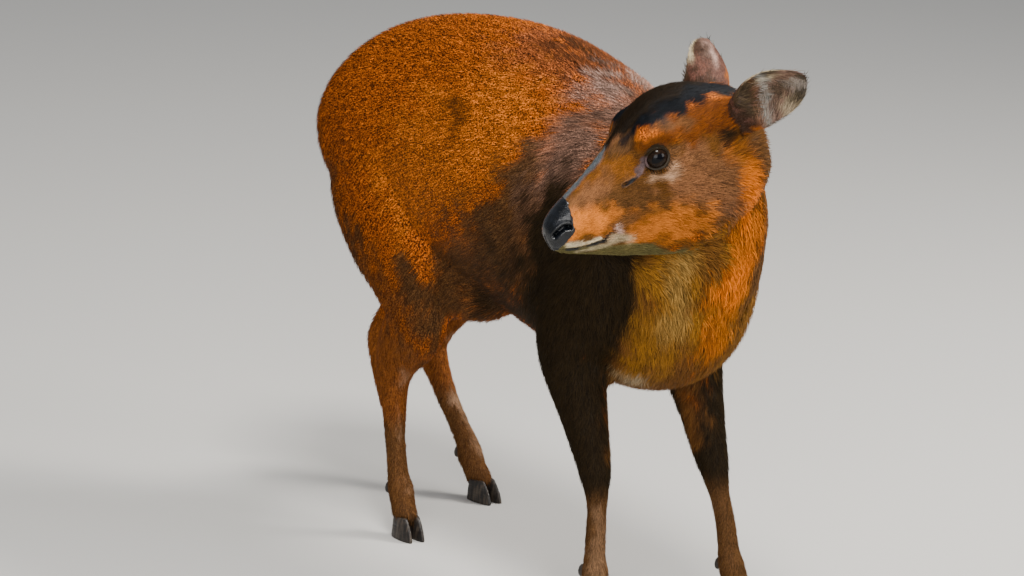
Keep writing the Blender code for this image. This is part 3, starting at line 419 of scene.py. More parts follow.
def markings(points):
    """Colour of the coat and its banding, with its painted sheen, light and shade, at places in the
    model's frame.
    """
    colours = np.tile(np.array((*HAIR["chestnut"], 0.95)), (len(points), 1))
    waver = ripple(points, 0.022, 3) + 0.6 * ripple(points, 0.007, 4)
    body = points - body_base
    for leg, top, share in (("foreleg", "umber", 1.0), ("hindleg", "brown", 0.75)):
        for flank in ("left", "right"):
            low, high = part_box(leg + "_" + flank)
            foot_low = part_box(leg.replace("leg", "foot") + "_" + flank)[0]
            within = near_line(body, np.array(middle(leg + "_" + flank)) - body_base,
                               np.array(middle(leg.replace("leg", "foot") + "_" + flank)) - body_base)
            fade = eased((high.z + 0.03 - points[:, 2]) / 0.06) * eased((0.075 - within) / 0.03)
            colours += (np.array((*HAIR[top], 0.2)) - colours) * (fade * share)[:, None]
            shin = eased((low.z + 0.012 - points[:, 2]) / 0.03) * (within < LEG_REACH)
            colours += (np.array((*HAIR["brown"], 0.3)) - colours) * (shin * 0.9)[:, None]
            pastern = eased((foot_low.z + 0.026 - points[:, 2]) / 0.02) * (within < LEG_REACH)
            colours += (np.array((*HAIR["umber"], 0.1)) - colours) * (pastern * 0.8)[:, None]
    painted(colours, body, waver, TRUNK_MARKS)
    painted(colours, body, waver, THROAT_MARKS, both_sides=False)
    tail_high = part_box("tail")[1]
    tail_spot = np.array(middle("tail"))
    on_tail = eased((tail_high.z + 0.004 - points[:, 2]) / 0.02) * (points[:, 0] < tail_high.x + 0.004)
    under = eased((points[:, 0] - tail_spot[0] - 0.006 + 0.25 * (tail_spot[2] - points[:, 2])) / 0.008)
    brim = eased((np.abs(points[:, 1] - tail_spot[1]) - 0.014) / 0.006)
    white = np.maximum(under, brim) * on_tail
    colours += (np.array((*HAIR["cream"], 0.0)) - colours) * white[:, None]
    local = in_head(points)
    painted(colours, local, waver, HEAD_MARKS)
    pad = nose_cover(local)
    colours += (np.array((*HAIR["soot"], 0.0)) - colours) * pad[:, None]
    return np.clip(colours, 0, 1)


def bareness(points):
    """1 where the skin of the head has no hair."""
    local = in_head(points)
    most = nose_cover(local)
    for start, end, radius, soft in BARE:
        for side in (1, -1):
            flip = np.array((1, side, 1))
            gap = near_line(local, np.array(start) * flip, np.array(end) * flip)
            most = np.maximum(most, eased(1 + (radius - gap) / soft))
    return most


# Skin
# One unbroken hide over trunk, neck, head, legs and tail: the solids melted together, drawn inward by
# the depth of the coat, then the face cut finer and given its lids, gland slits, nostrils and lips.
FLESH = ["torso", "neck", "head", "nose", "tail"]
FLESH += [part + "_" + flank for part in ("foreleg", "forefoot", "hindleg", "hindfoot")
          for flank in ("left", "right")]
SEAM = 0.0004                # each solid grows by this, to close the thin cuts between them
SKIN_GRAIN = 0.0042
EAR_ROOT = np.array((0.006, 0.038, 0.024))
EAR_AXIS = np.array((-0.575, 0.690, 0.445))
EAR_FACE = np.array((0.57, 0.74, -0.36))
EAR_PLUG_RADIUS = 0.0125


def cad_copy(node, grow=0.0):
    """A bmesh of a CAD node with its triangles sewn together."""
    bm = bmesh.new()
    bm.from_mesh(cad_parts[node].data)
    bmesh.ops.remove_doubles(bm, verts=bm.verts, dist=1e-6)
    bm.normal_update()
    for v, normal in [(v, v.normal.copy()) for v in bm.verts]:
        v.co += normal * grow
    return bm


def placed(name, mesh):
    """A new object at the origin, in the scene."""
    obj = bpy.data.objects.new(name, mesh)
    bpy.context.scene.collection.objects.link(obj)
    return obj


def settled(obj):
    """The object with its modifiers worked into its mesh."""
    graph = bpy.context.evaluated_depsgraph_get()
    mesh = bpy.data.meshes.new_from_object(obj.evaluated_get(graph))
    obj.modifiers.clear()
    old = obj.data
    obj.data = mesh
    bpy.data.meshes.remove(old)
    return obj


def melted(obj, grain, passes):
    """The object's closed forms fused by a voxel remesh and smoothed."""
    remesh = obj.modifiers.new("melt", 'REMESH')
    remesh.mode = 'VOXEL'
    remesh.voxel_size = grain
    smooth = obj.modifiers.new("round", 'SMOOTH')
    smooth.factor = 0.5
    smooth.iterations = passes
    return settled(obj)


def arrays(mesh):
    """Positions and normals of a mesh's vertices."""
    points = np.empty(len(mesh.vertices) * 3)
    mesh.vertices.foreach_get("co", points)
    normals = np.empty(len(mesh.vertices) * 3)
    mesh.vertex_normals.foreach_get("vector", normals)
    return points.reshape(-1, 3), normals.reshape(-1, 3)


def move_to(mesh, points):
    """Give the mesh's vertices new places."""
    mesh.vertices.foreach_set("co", np.ascontiguousarray(points, np.float64).ravel())
    mesh.update()


def finer(obj, chosen, passes):
    """Split the picked faces into four, then relax the picked part."""
    bm = bmesh.new()
    bm.from_mesh(obj.data)
    centres = np.array([f.calc_center_median() for f in bm.faces])
    picked = chosen(centres)
    bm.faces.ensure_lookup_table()
    faces = [bm.faces[i] for i in np.flatnonzero(picked)]
    edges = list({e for f in faces for e in f.edges})
    bmesh.ops.subdivide_edges(bm, edges=edges, cuts=1, use_grid_fill=True)
    bmesh.ops.triangulate(bm, faces=[f for f in bm.faces if len(f.verts) > 4])
    verts = [v for v, near in zip(bm.verts, chosen(np.array([v.co for v in bm.verts]))) if near]
    for _ in range(passes):
        bmesh.ops.smooth_vert(bm, verts=verts, factor=0.5,
                              use_axis_x=True, use_axis_y=True, use_axis_z=True)
    bm.to_mesh(obj.data)
    bm.free()


whole = bmesh.new()
scratch = bpy.data.meshes.new("scratch")
for node in FLESH + ["eye_left", "eye_right"]:
    copy = cad_copy(node, SEAM)
    copy.to_mesh(scratch)
    copy.free()
    whole.from_mesh(scratch)
for side in (1, -1):
    plug = bmesh.new()
    bmesh.ops.create_icosphere(plug, subdivisions=3, radius=EAR_PLUG_RADIUS)
    root = (EAR_ROOT - unit(EAR_AXIS) * 0.003) * np.array((1, side, 1))
    plug.transform(head_place @ Matrix.Translation(Vector(root)))
    plug.to_mesh(scratch)
    plug.free()
    whole.from_mesh(scratch)
skin_mesh = bpy.data.meshes.new("skin")
whole.to_mesh(skin_mesh)
whole.free()
skin = melted(placed("skin", skin_mesh), SKIN_GRAIN, 3)


def on_head(points):
    """Whether each place lies on the head."""
    local = in_head(points)
    level = (local[:, 2] > -0.105) & (local[:, 2] < 0.09)
    return level & (local[:, 0] > -0.004) & (np.abs(local[:, 1]) < 0.07)


def on_face(points):
    """Whether each place lies on the head ahead of the cheek."""
    return on_head(points) & (in_head(points)[:, 0] > 0.050)


# The finest skin: round the eye, on the gland slit, and on the muzzle from the mouth's corner forward
FINE_SPOTS = [((0.0904, 0.0355, 0.0171), 0.019), ((0.112, 0.030, 0.006), 0.013),
              ((0.150, 0.020, -0.036), 0.014), ((0.170, 0.012, -0.038), 0.016),
              ((0.186, 0.010, -0.018), 0.019)]


def on_features(points):
    """Whether each place lies on the eye, the gland slit or the muzzle."""
    local = in_head(points)
    local[:, 1] = np.abs(local[:, 1])
    near = np.zeros(len(points), bool)
    for spot, radius in FINE_SPOTS:
        near |= np.linalg.norm(local - np.array(spot), axis=1) < radius
    return near & on_face(points)


finer(skin, on_head, 1)
finer(skin, on_face, 1)
finer(skin, on_features, 2)

# Draw the hide in by the depth of the coat
points, normals = arrays(skin.data)
rise = lie_at(points)[2]
move_to(skin.data, points - normals * (rise * (1 - bareness(points)))[:, None])

EYE_OUT = np.array((0.28, 1.0, 0.10))
EYE_SLANT = radians(-14)
EYE_HALF_LENGTH = 0.0112
EYE_HALF_HEIGHT = 0.0091
EYE_RADIUS = 0.0125
LID_THICKNESS = 0.0014


def eye_axes(side):
    """Outward, along and up directions of the opening of an eye, in the head's frame."""
    flip = np.array((1, side, 1))
    out = unit(EYE_OUT * flip)
    along = np.array((cos(EYE_SLANT), 0, sin(EYE_SLANT)))
    along = unit(along - out * (along @ out))
    return out, along, np.cross(out, along) * side


def open_eye(local, side):
    """Lids drawn over the eyeball, with a rim, a fold behind it, and a clear opening between them."""
    centre = np.array((EYE_FORWARD, EYE_ASIDE * side, EYE_UP))
    out, along, high = eye_axes(side)
    away = local - centre
    reach = np.linalg.norm(away, axis=1)
    ray = away / reach[:, None]
    a = (away @ along) / EYE_HALF_LENGTH
    b = (away @ high) / EYE_HALF_HEIGHT
    ring = np.sqrt(a * a + b * b)
    rim = 0.00045 * np.exp(-((ring - 1.07) / 0.06) ** 2)
    fold = -0.0009 * np.exp(-((ring - 1.36) / 0.08) ** 2) * (0.6 + 0.4 * np.sign(b))
    second = -0.0007 * np.exp(-((ring - 1.66) / 0.10) ** 2)
    lid = EYE_RADIUS + LID_THICKNESS * np.clip(1.35 - 0.35 * ring, 0.4, 1)
    edge = eased((ring - 0.93) / 0.10)
    target = (EYE_RADIUS - 0.0030) * (1 - edge) + lid * edge
    hold = eased((1.80 - ring) / 0.50)
    near = (ray @ out > 0.05) & (reach < 0.034)
    moved = reach + (target - reach) * hold + rim + fold + second
    return np.where(near[:, None], centre + ray * moved[:, None], local)


# Relief of the left side of the face: line, depth, width, height of the swelling beside it
FACE_LINES = [
    (((0.1065, 0.033, 0.0075), (0.113, 0.030, 0.0050), (0.122, 0.0255, 0.0025)),
     0.0028, 0.0011, 0.0007),
    (((0.192, 0.004, -0.0370), (0.185, 0.011, -0.0375), (0.176, 0.0135, -0.0395),
      (0.167, 0.016, -0.0405), (0.154, 0.0185, -0.0405), (0.147, 0.0205, -0.0380),
      (0.1440, 0.022, -0.0340)),
     0.0026, 0.0011, 0.0008),
    (((0.1440, 0.022, -0.0340), (0.1450, 0.0232, -0.0285)), 0.0014, 0.0015, 0.0005),
    (((0.1925, 0.0115, -0.0215), (0.1885, 0.0140, -0.0185), (0.1830, 0.0152, -0.0165),
      (0.1785, 0.0155, -0.0180)),
     0.0052, 0.0017, 0.0008),
    (((0.199, 0.0, -0.018), (0.195, 0.0, -0.036)), 0.0012, 0.0009, 0.0),
    (((0.060, 0.020, 0.056), (0.086, 0.014, 0.050), (0.110, 0.009, 0.039)), 0.0010, 0.0028, 0.0004),
    (((0.094, 0.040, 0.002), (0.104, 0.034, -0.001), (0.114, 0.028, -0.003)), 0.0007, 0.0016, 0.0003),
]


def carved(local, bearing, line, depth, width, lip):
    """A groove along a line, with a soft swelling on both sides of it."""
    far = np.full(len(local), 1e9)
    for start, end in zip(line, line[1:]):
        far = np.minimum(far, near_line(local, start, end))
    far = far / width
    push = -depth * np.exp(-far ** 2) + lip * np.exp(-(far - 2.2) ** 2)
    return local + bearing * push[:, None]


points, normals = arrays(skin.data)
face = on_face(points)
local, bearing = in_head(points[face]), normals[face] @ head_axes
for side in (1, -1):
    local = open_eye(local, side)
    for line, depth, width, lip in FACE_LINES:
        twin = [(f, aside * side, up) for f, aside, up in line]
        local = carved(local, bearing, twin, depth, width, lip)
points[face] = from_head(local)
move_to(skin.data, points)
print("skin", len(skin.data.polygons), "faces")


def mesh_of(name, points, triangles):
    """A smooth mesh from arrays of places and of triangles."""
    mesh = bpy.data.meshes.new(name)
    mesh.vertices.add(len(points))
    mesh.vertices.foreach_set("co", np.ascontiguousarray(points, np.float32).ravel())
    mesh.loops.add(len(triangles) * 3)
    mesh.loops.foreach_set("vertex_index", np.ascontiguousarray(triangles, np.int32).ravel())
    mesh.polygons.add(len(triangles))
    mesh.polygons.foreach_set("loop_start", np.arange(0, len(triangles) * 3, 3, dtype=np.int32))
    mesh.update(calc_edges=True)
    mesh.shade_smooth()
    return mesh


def triangles_of(mesh):
    """A mesh's triangles as an array of vertex numbers."""
    mesh.calc_loop_triangles()
    tris = np.empty(len(mesh.loop_triangles) * 3, np.int32)
    mesh.loop_triangles.foreach_get("vertices", tris)
    return tris.reshape(-1, 3)


def paint(mesh, name, values):
    """Store four numbers at every vertex."""
    layer = mesh.attributes.new(name, 'FLOAT_COLOR', 'POINT')
    layer.data.foreach_set("color", np.ascontiguousarray(values, np.float32).ravel())


# The moist pad of the nose is cut from the same surface, so that no step shows round it
points, normals = arrays(skin.data)
skin_tris = triangles_of(skin.data)
pad_here = nose_cover(in_head(points))
on_pad = pad_here[skin_tris].mean(1) > 0.5


def cut_out(name, points, triangles, chosen):
    """A mesh of the chosen triangles alone, and which of the old vertices it holds."""
    held, numbers = np.unique(triangles[chosen], return_inverse=True)
    return mesh_of(name, points[held], numbers.reshape(-1, 3)), held


old_skin = skin.data
nose_mesh, nose_held = cut_out("nose_pad", points, skin_tris, on_pad)
skin_part, skin_held = cut_out("skin", points, skin_tris, ~on_pad)
skin.data = skin_part
bpy.data.meshes.remove(old_skin)
nose_pad = placed("nose_pad", nose_mesh)
skin_points, skin_normals = points[skin_held], normals[skin_held]
skin_tris = triangles_of(skin_part)
for mesh, held in ((nose_mesh, nose_held), (skin_part, skin_held)):
    mesh.normals_split_custom_set_from_vertices(normals[held])
skin_colours = markings(skin_points)
skin_bare = bareness(skin_points)
paint(skin_part, "markings", skin_colours)
paint(skin_part, "hide", np.column_stack((skin_bare, skin_bare, skin_bare, np.ones(len(skin_bare)))))


def tree_of(name, kind):
    """A new material, or a new shader group, emptied."""
    if kind == 'GROUP':
        return bpy.data.node_groups.new(name, 'ShaderNodeTree')
    made = bpy.data.materials.new(name)
    made.use_nodes = True
    return made.node_tree


def reckoned(tree, operation, *values):
    """A Math node on sockets or plain numbers; returns its result."""
    node = tree.nodes.new("ShaderNodeMath")
    node.operation = operation
    for i, value in enumerate(values):
        if isinstance(value, (int, float)):
            node.inputs[i].default_value = value
        else:
            tree.links.new(value, node.inputs[i])
    return node.outputs[0]


def ramp(tree, value, low, high, to_low=0.0, to_high=1.0):
    """A smooth step of a value from one number to another."""
    node = tree.nodes.new("ShaderNodeMapRange")
    node.interpolation_type = 'SMOOTHSTEP'
    for key, number in (("From Min", low), ("From Max", high), ("To Min", to_low), ("To Max", to_high)):
        node.inputs[key].default_value = number
    tree.links.new(value, node.inputs["Value"])
    return node.outputs["Result"]


def mixed(tree, factor, first, second):
    """A colour mix on sockets or plain colours; returns its result."""
    node = tree.nodes.new("ShaderNodeMix")
    node.data_type = 'RGBA'
    sockets = (node.inputs["Factor"], node.inputs[6], node.inputs[7])
    for socket, value in zip(sockets, (factor, first, second)):
        if isinstance(value, (int, float)):
            socket.default_value = value
        elif isinstance(value, tuple):
            socket.default_value = (*value, 1)
        else:
            tree.links.new(value, socket)
    return node.outputs[2]


def noise(tree, scale, detail=2.0, stretch=None):
    """A noise over the model's own space; returns its value."""
    place = tree.nodes.new("ShaderNodeTexCoord")
    node = tree.nodes.new("ShaderNodeTexNoise")
    node.inputs["Scale"].default_value = scale
    node.inputs["Detail"].default_value = detail
    if stretch:
        mapping = tree.nodes.new("ShaderNodeMapping")
        mapping.inputs["Scale"].default_value = stretch
        tree.links.new(place.outputs["Object"], mapping.inputs["Vector"])
        tree.links.new(mapping.outputs["Vector"], node.inputs["Vector"])
    else:
        tree.links.new(place.outputs["Object"], node.inputs["Vector"])
    return node.outputs["Fac"]


# Colour of a hair: its marking, paler or darker from strand to strand, shaded at the root, and on the
# back banded with black near the tip
BAND_BLACK = (0.006, 0.0036, 0.0022)
hair_colour = tree_of("hair colour", 'GROUP')
hair_colour.interface.new_socket(name="Markings", in_out='INPUT', socket_type='NodeSocketColor')
for label in ("Banding", "Along", "Shade", "Tick"):
    hair_colour.interface.new_socket(name=label, in_out='INPUT', socket_type='NodeSocketFloat')
hair_colour.interface.new_socket(name="Colour", in_out='OUTPUT', socket_type='NodeSocketColor')
given = hair_colour.nodes.new("NodeGroupInput")
result = hair_colour.nodes.new("NodeGroupOutput")
lightness = ramp(hair_colour, given.outputs["Shade"], 0.0, 1.0, 0.46, 1.56)
rooted = ramp(hair_colour, given.outputs["Along"], 0.0, 0.6, 0.50, 1.0)
value = reckoned(hair_colour, 'MULTIPLY', lightness, rooted)
lit = hair_colour.nodes.new("ShaderNodeVectorMath")
lit.operation = 'SCALE'
hair_colour.links.new(given.outputs["Markings"], lit.inputs[0])
hair_colour.links.new(value, lit.inputs["Scale"])
ticked = ramp(hair_colour, given.outputs["Tick"], 0.42, 0.52)
near_tip = ramp(hair_colour, given.outputs["Along"], 0.52, 0.74)
fleck = ramp(hair_colour, noise(hair_colour, 680.0, 2.0), 0.48, 0.53)
dark = reckoned(hair_colour, 'MAXIMUM', reckoned(hair_colour, 'MULTIPLY', ticked, near_tip), fleck)
band = reckoned(hair_colour, 'MULTIPLY', dark, given.outputs["Banding"])
shown = mixed(hair_colour, band, lit.outputs[0], BAND_BLACK)
hair_colour.links.new(shown, result.inputs["Colour"])


def finish(name, roughness, specular=0.5, coat=0.0):
    """A material with its Principled shader and plain gloss settings."""
    tree = tree_of(name, 'MATERIAL')
    shader = tree.nodes["Principled BSDF"]
    shader.inputs["Roughness"].default_value = roughness
    shader.inputs["Specular IOR Level"].default_value = specular
    shader.inputs["Coat Weight"].default_value = coat
    shader.inputs["Coat Roughness"].default_value = 0.05
    return bpy.data.materials[name], tree, shader


def hair_group(tree, along, shade, tick):
    """The hair colour group in a material, fed with the markings painted on the piece."""
    painted_on = tree.nodes.new("ShaderNodeAttribute")
    painted_on.attribute_name = "markings"
    group = tree.nodes.new("ShaderNodeGroup")
    group.node_tree = hair_colour
    tree.links.new(painted_on.outputs["Color"], group.inputs["Markings"])
    tree.links.new(painted_on.outputs["Alpha"], group.inputs["Banding"])
    for label, value in (("Along", along), ("Shade", shade), ("Tick", tick)):
        if isinstance(value, float):
            group.inputs[label].default_value = value
        else:
            tree.links.new(value, group.inputs[label])
    return group.outputs["Colour"]


def bumped(tree, shader, height, distance, strength=1.0):
    """Relief on a shader from a height."""
    bump = tree.nodes.new("ShaderNodeBump")
    bump.inputs["Distance"].default_value = distance
    bump.inputs["Strength"].default_value = strength
    tree.links.new(height, bump.inputs["Height"])
    tree.links.new(bump.outputs["Normal"], shader.inputs["Normal"])


# Skin finish: flat under-hair as fine relief, and smooth moist skin where the head is bare
under_hair, tree, shader = finish("under hair", 0.78, 0.15)
fine = noise(tree, 900.0, 1.0)
flecks = noise(tree, 420.0, 1.0)
tree.links.new(hair_group(tree, 0.42, fine, flecks), shader.inputs["Base Color"])
bare_here = tree.nodes.new("ShaderNodeAttribute")
bare_here.attribute_name = "hide"
tree.links.new(ramp(tree, bare_here.outputs["Fac"], 0.0, 1.0, 0.78, 0.34), shader.inputs["Roughness"])
covered = reckoned(tree, 'SUBTRACT', 1.0, bare_here.outputs["Fac"])
relief = reckoned(tree, 'ADD', reckoned(tree, 'MULTIPLY', fine, covered),
              reckoned(tree, 'MULTIPLY', noise(tree, 1500.0, 1.0), 0.25))
bumped(tree, shader, relief, 0.0007)
skin_part.materials.append(under_hair)
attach(skin, "root")
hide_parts(*[node for node in FLESH if node != "nose"])

# Nose pad: black, moist, cobbled skin round the nostrils
moist, tree, shader = finish("moist nose", 0.3, 0.18, coat=0.32)
shader.inputs["Coat Roughness"].default_value = 0.08
cells = tree.nodes.new("ShaderNodeTexVoronoi")
cells.inputs["Scale"].default_value = 900.0
where = tree.nodes.new("ShaderNodeTexCoord")
tree.links.new(where.outputs["Object"], cells.inputs["Vector"])
tone = ramp(tree, noise(tree, 160.0), 0.35, 0.7)
black = mixed(tree, tone, (0.0014, 0.0018, 0.0026), (0.004, 0.005, 0.0075))
tree.links.new(black, shader.inputs["Base Color"])
tree.links.new(ramp(tree, noise(tree, 300.0), 0.3, 0.7, 0.18, 0.30), shader.inputs["Roughness"])
bumped(tree, shader, reckoned(tree, 'SUBTRACT', 1.0, cells.outputs["Distance"]), 0.00035, 0.6)
nose_mesh.materials.append(moist)
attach(nose_pad, "root")
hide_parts("nose")

# Ears
# Thin upright cups of skin and gristle, dark and grizzled behind, edged with white, and lined with a
# few long pale hairs. They are the solids' own shape made smooth, with low ridges inside the cup.
EAR_HALF_WIDTH = 0.024
EAR_LENGTH = 0.080
EAR_RIDGE = 0.0005           # height of the low ridges inside the cup
EAR_RIDGE_TURNS = 9.0        # and how close together they stand
ears = {}


def ear_axes(side):
    """Root, and the directions along, across and out of the cup of an ear, in the model's frame."""
    flip = np.array((1, side, 1))
    along = head_axes @ unit(EAR_AXIS * flip)
    out = head_axes @ (EAR_FACE * flip)
    out = unit(out - along * (out @ along))
    return from_head(EAR_ROOT * flip), along, np.cross(out, along) * side, out


def ear_marks(points, normals, side):
    """Colour and banding over an ear, and how far each place lies inside the cup or on its rim."""
    root, along, across, out = ear_axes(side)
    high = (points - root) @ along / EAR_LENGTH
    aside = (points - root) @ across / EAR_HALF_WIDTH
    facing = normals @ out
    inside = eased((facing + 0.05) / 0.3) * eased((high - 0.10) / 0.12)
    rim = np.exp(-((facing + 0.05) / 0.30) ** 2) * eased((high - 0.25) / 0.25)
    waver = 0.12 * ripple(points, 0.012, 8)
    back = np.tile(np.array((*HAIR["grizzle"], 0.45)), (len(points), 1))
    for name, cover in (("umber", eased((0.32 + waver - high) / 0.22) * 0.75),
                        ("umber", eased((aside - 0.10 + waver) / 0.4)
                         * eased((high - 0.30) / 0.3) * 0.75),
                        # a pale frosted patch in the middle of the back of the ear, partly painted sheen
                        ("frost_and_sheen", np.exp(-((high - 0.66) / 0.22) ** 2
                                         - ((aside - 0.12 + waver) / 0.26) ** 2) * 0.85),
                        ("orange", eased((-aside - 0.38 + waver) / 0.35)
                         * eased((0.75 - high) / 0.3) * 0.85)):
        back += (np.array((*HAIR[name], 0.3)) - back) * cover[:, None]
    edge = "umber" if side > 0 else "cream"
    lining = np.tile(np.array((*HAIR["dusky"], 0.0)) * 0.8, (len(points), 1))
    for name, cover in (("umber", np.exp(-((high - 0.54) / 0.21) ** 2
                                         - ((aside + 0.14 + waver) / 0.36) ** 2) * 0.92),
                        ("ash", eased((high - 0.55) / 0.25) * eased((0.25 - aside + waver) / 0.3) * 0.55),
                        ("cream", np.exp(-((aside + 0.4 * waver - 0.84 + 0.25 * high) / 0.16) ** 2)
                         * eased((high - 0.36) / 0.08) * eased((0.82 - high) / 0.25) * 0.80),
                        ("cream", eased((-aside - 0.62 + waver) / 0.15)
                         * eased((high - 0.34) / 0.08) * eased((0.82 - high) / 0.25) * 0.50),
                        (edge, eased((aside + 0.3 * waver - 0.98 + 0.35 * high) / 0.08) * 0.90),
                        (edge, eased((0.3 * waver - aside - 0.85 + 0.40 * high) / 0.08)
                         * eased((high - 0.45) / 0.2) * 0.85),
                        (edge, eased((high - 0.88) / 0.06) * 0.80),
                        # partly painted shade: the lining darkens to rust and then umber towards the base
                        # of the cup, in its hollow
                        ("rust", eased((0.34 - high + 0.2 * aside) / 0.08) * 0.70),
                        ("umber", eased((0.29 - high + 0.2 * aside) / 0.10) * 0.90),
                        ("ash", np.exp(-((high - 0.37 - 0.2 * aside + 0.3 * waver) / 0.055) ** 2) * 0.85)):
        lining += (np.array((*HAIR[name], 0.0)) - lining) * cover[:, None]
    colours = back + (lining - back) * inside[:, None]
    tip = 1.0 if side < 0 else eased((0.90 - high) / 0.08)
    white_rim = eased((facing + 0.78) / 0.30) * (1 - inside) * eased((high - 0.28) / 0.2) * tip
    colours += (np.array((*HAIR["cream"], 0.0)) - colours) * (white_rim * 0.85)[:, None]
    return np.clip(colours, 0, 1), inside, rim


gristle, tree, shader = finish("ear skin", 0.7, 0.3)
fine = noise(tree, 1100.0, 1.0)
tree.links.new(hair_group(tree, 0.45, fine, noise(tree, 500.0, 1.0)), shader.inputs["Base Color"])
bumped(tree, shader, fine, 0.0004)
for label, side in (("left", 1), ("right", -1)):
    bm = cad_copy("ear_" + label)
    mesh = bpy.data.meshes.new("ear_" + label + "_skin")
    bm.to_mesh(mesh)
    bm.free()
    ear = placed("ear_" + label + "_skin", mesh)
    curved = ear.modifiers.new("curved", 'SUBSURF')
    curved.levels = 2
    curved.render_levels = 2
    settled(ear)
    points, normals = arrays(ear.data)
    root, _, across, _ = ear_axes(side)
    colours, inside, rim = ear_marks(points, normals, side)
    spread = (points - root) @ across / EAR_HALF_WIDTH
    ridges = np.cos(spread * EAR_RIDGE_TURNS) * inside * (1 - rim) * EAR_RIDGE
    move_to(ear.data, points + normals * ridges[:, None])
    ear.data.shade_smooth()
    paint(ear.data, "markings", colours)
    ear.data.materials.append(gristle)
    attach(ear, "root")
    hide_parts("ear_" + label)
    ears[label] = ear

# Eyes
# Large, dark, wet eyeballs with a brown iris, a wide level pupil and a slightly raised cornea.
CORNEA_RISE = 0.0007
PUPIL_HALF = (0.0060, 0.0034)
IRIS_RADIUS = 0.0094

wet_eye, tree, shader = finish("wet eye", 0.09, 0.03, coat=0.16)
shader.inputs["Coat Roughness"].default_value = 0.015
gaze = tree.nodes.new("ShaderNodeAttribute")
gaze.attribute_name = "gaze"
parts = tree.nodes.new("ShaderNodeSeparateColor")
tree.links.new(gaze.outputs["Color"], parts.inputs[0])
spokes = noise(tree, 700.0, 3.0)
iris = mixed(tree, ramp(tree, spokes, 0.35, 0.7), (0.005, 0.003, 0.002), (0.016, 0.008, 0.004))
ringed = mixed(tree, ramp(tree, parts.outputs["Green"], 0.86, 1.04), iris, (0.006, 0.004, 0.004))
pupil = mixed(tree, ramp(tree, parts.outputs["Red"], 0.92, 1.12), (0.002, 0.002, 0.003), ringed)
tree.links.new(pupil, shader.inputs["Base Color"])
for label, side in (("left", 1), ("right", -1)):
    out, along, high = eye_axes(side)
    basis = Matrix((Vector(along), Vector(high), Vector(out))).transposed()
    if basis.determinant() < 0:
        basis = Matrix((Vector(-along), Vector(high), Vector(out))).transposed()
    bm = bmesh.new()
    bmesh.ops.create_uvsphere(bm, u_segments=56, v_segments=40, radius=1)
    for v in bm.verts:
        bulge = CORNEA_RISE * float(eased((v.co.z - 0.70) / 0.30))
        v.co = v.co * (EYE_RADIUS - 0.0002 + bulge)
    local = np.array([v.co for v in bm.verts])
    centre = Matrix.Translation((EYE_FORWARD, EYE_ASIDE * side, EYE_UP))
    bm.transform(head_place @ centre @ basis.to_4x4())
    mesh = bpy.data.meshes.new("eyeball_" + label)
    bm.to_mesh(mesh)
    bm.free()
    pupil_gap = np.hypot(local[:, 0] / PUPIL_HALF[0], local[:, 1] / PUPIL_HALF[1])
    iris_gap = np.hypot(local[:, 0], local[:, 1]) / IRIS_RADIUS
    far_side = local[:, 2] < 0
    pupil_gap[far_side] = 2.0
    iris_gap[far_side] = 2.0
    paint(mesh, "gaze", np.column_stack((pupil_gap, iris_gap, np.zeros(len(local)), np.ones(len(local)))))
    mesh.shade_smooth()
    mesh.materials.append(wet_eye)
    eyeball = placed("eyeball_" + label, mesh)
    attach(eyeball, "root")
    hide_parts("eye_" + label)

# Hooves
# Two narrow pointed hooves on every foot and two small dew claws behind it, of dark worn horn with
# growth rings round the wall. Each is its solid's own shape, rounded at the edges.
HOOF_GRAIN = 0.0009
DEW_CLAW_GRAIN = 0.0006

horn, tree, shader = finish("dark horn", 0.46, 0.28)
stripes = noise(tree, 90.0, 3.0, (4.0, 4.0, 0.5))
rings = noise(tree, 60.0, 2.0, (0.4, 0.4, 9.0))
worn = mixed(tree, ramp(tree, stripes, 0.40, 0.70), (0.012, 0.010, 0.009), (0.050, 0.038, 0.028))
tree.links.new(worn, shader.inputs["Base Color"])
tree.links.new(ramp(tree, rings, 0.3, 0.7, 0.34, 0.56), shader.inputs["Roughness"])
bumped(tree, shader, rings, 0.0006)
for node in sorted(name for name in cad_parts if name.startswith(("hoof", "dewclaw"))):
    bm = cad_copy(node, 0.0002)
    mesh = bpy.data.meshes.new(node + "_horn")
    bm.to_mesh(mesh)
    bm.free()
    grain = HOOF_GRAIN if node.startswith("hoof") else DEW_CLAW_GRAIN
    claw = melted(placed(node + "_horn", mesh), grain, 3)
    if node.startswith("hoof"):
        points, normals = arrays(claw.data)
        points[:, 2] = np.maximum(points[:, 2] - points[:, 2].min(), 0)
        move_to(claw.data, points)
    claw.data.shade_smooth()
    claw.data.materials.append(horn)
    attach(claw, "root")
    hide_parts(node)

# Coat
# Thin pointed tufts rooted in the skin, one shape repeated: short and fine on the face and feet, longer
# on the neck, rump and tail, and bent along the body on the neck and tail. They lie as the hair of a deer
# lies.
COVER = 2.2                  # how many layers of hair lie over each place
NARROWEST, WIDEST = 0.00056, 0.00100
WIDTH_SHARE = 0.10           # of a tuft's length
BEND_SHARE = 0.85
WAVER_OF_LIE = 0.16
SPREAD_OF_LIE = 0.20
ROOT_DEPTH = 0.0003          # a tuft starts this far under the skin
BAKE_PATCH = 0.0030          # the width of a tuft's own place on the unwrap

coat_finish, tree, shader = finish("coat hair", 0.60, 0.06)
strand = tree.nodes.new("ShaderNodeAttribute")
strand.attribute_name = "strand"
split = tree.nodes.new("ShaderNodeSeparateColor")
tree.links.new(strand.outputs["Color"], split.inputs[0])
tree.links.new(hair_group(tree, split.outputs["Red"], split.outputs["Green"], split.outputs["Blue"]),
               shader.inputs["Base Color"])


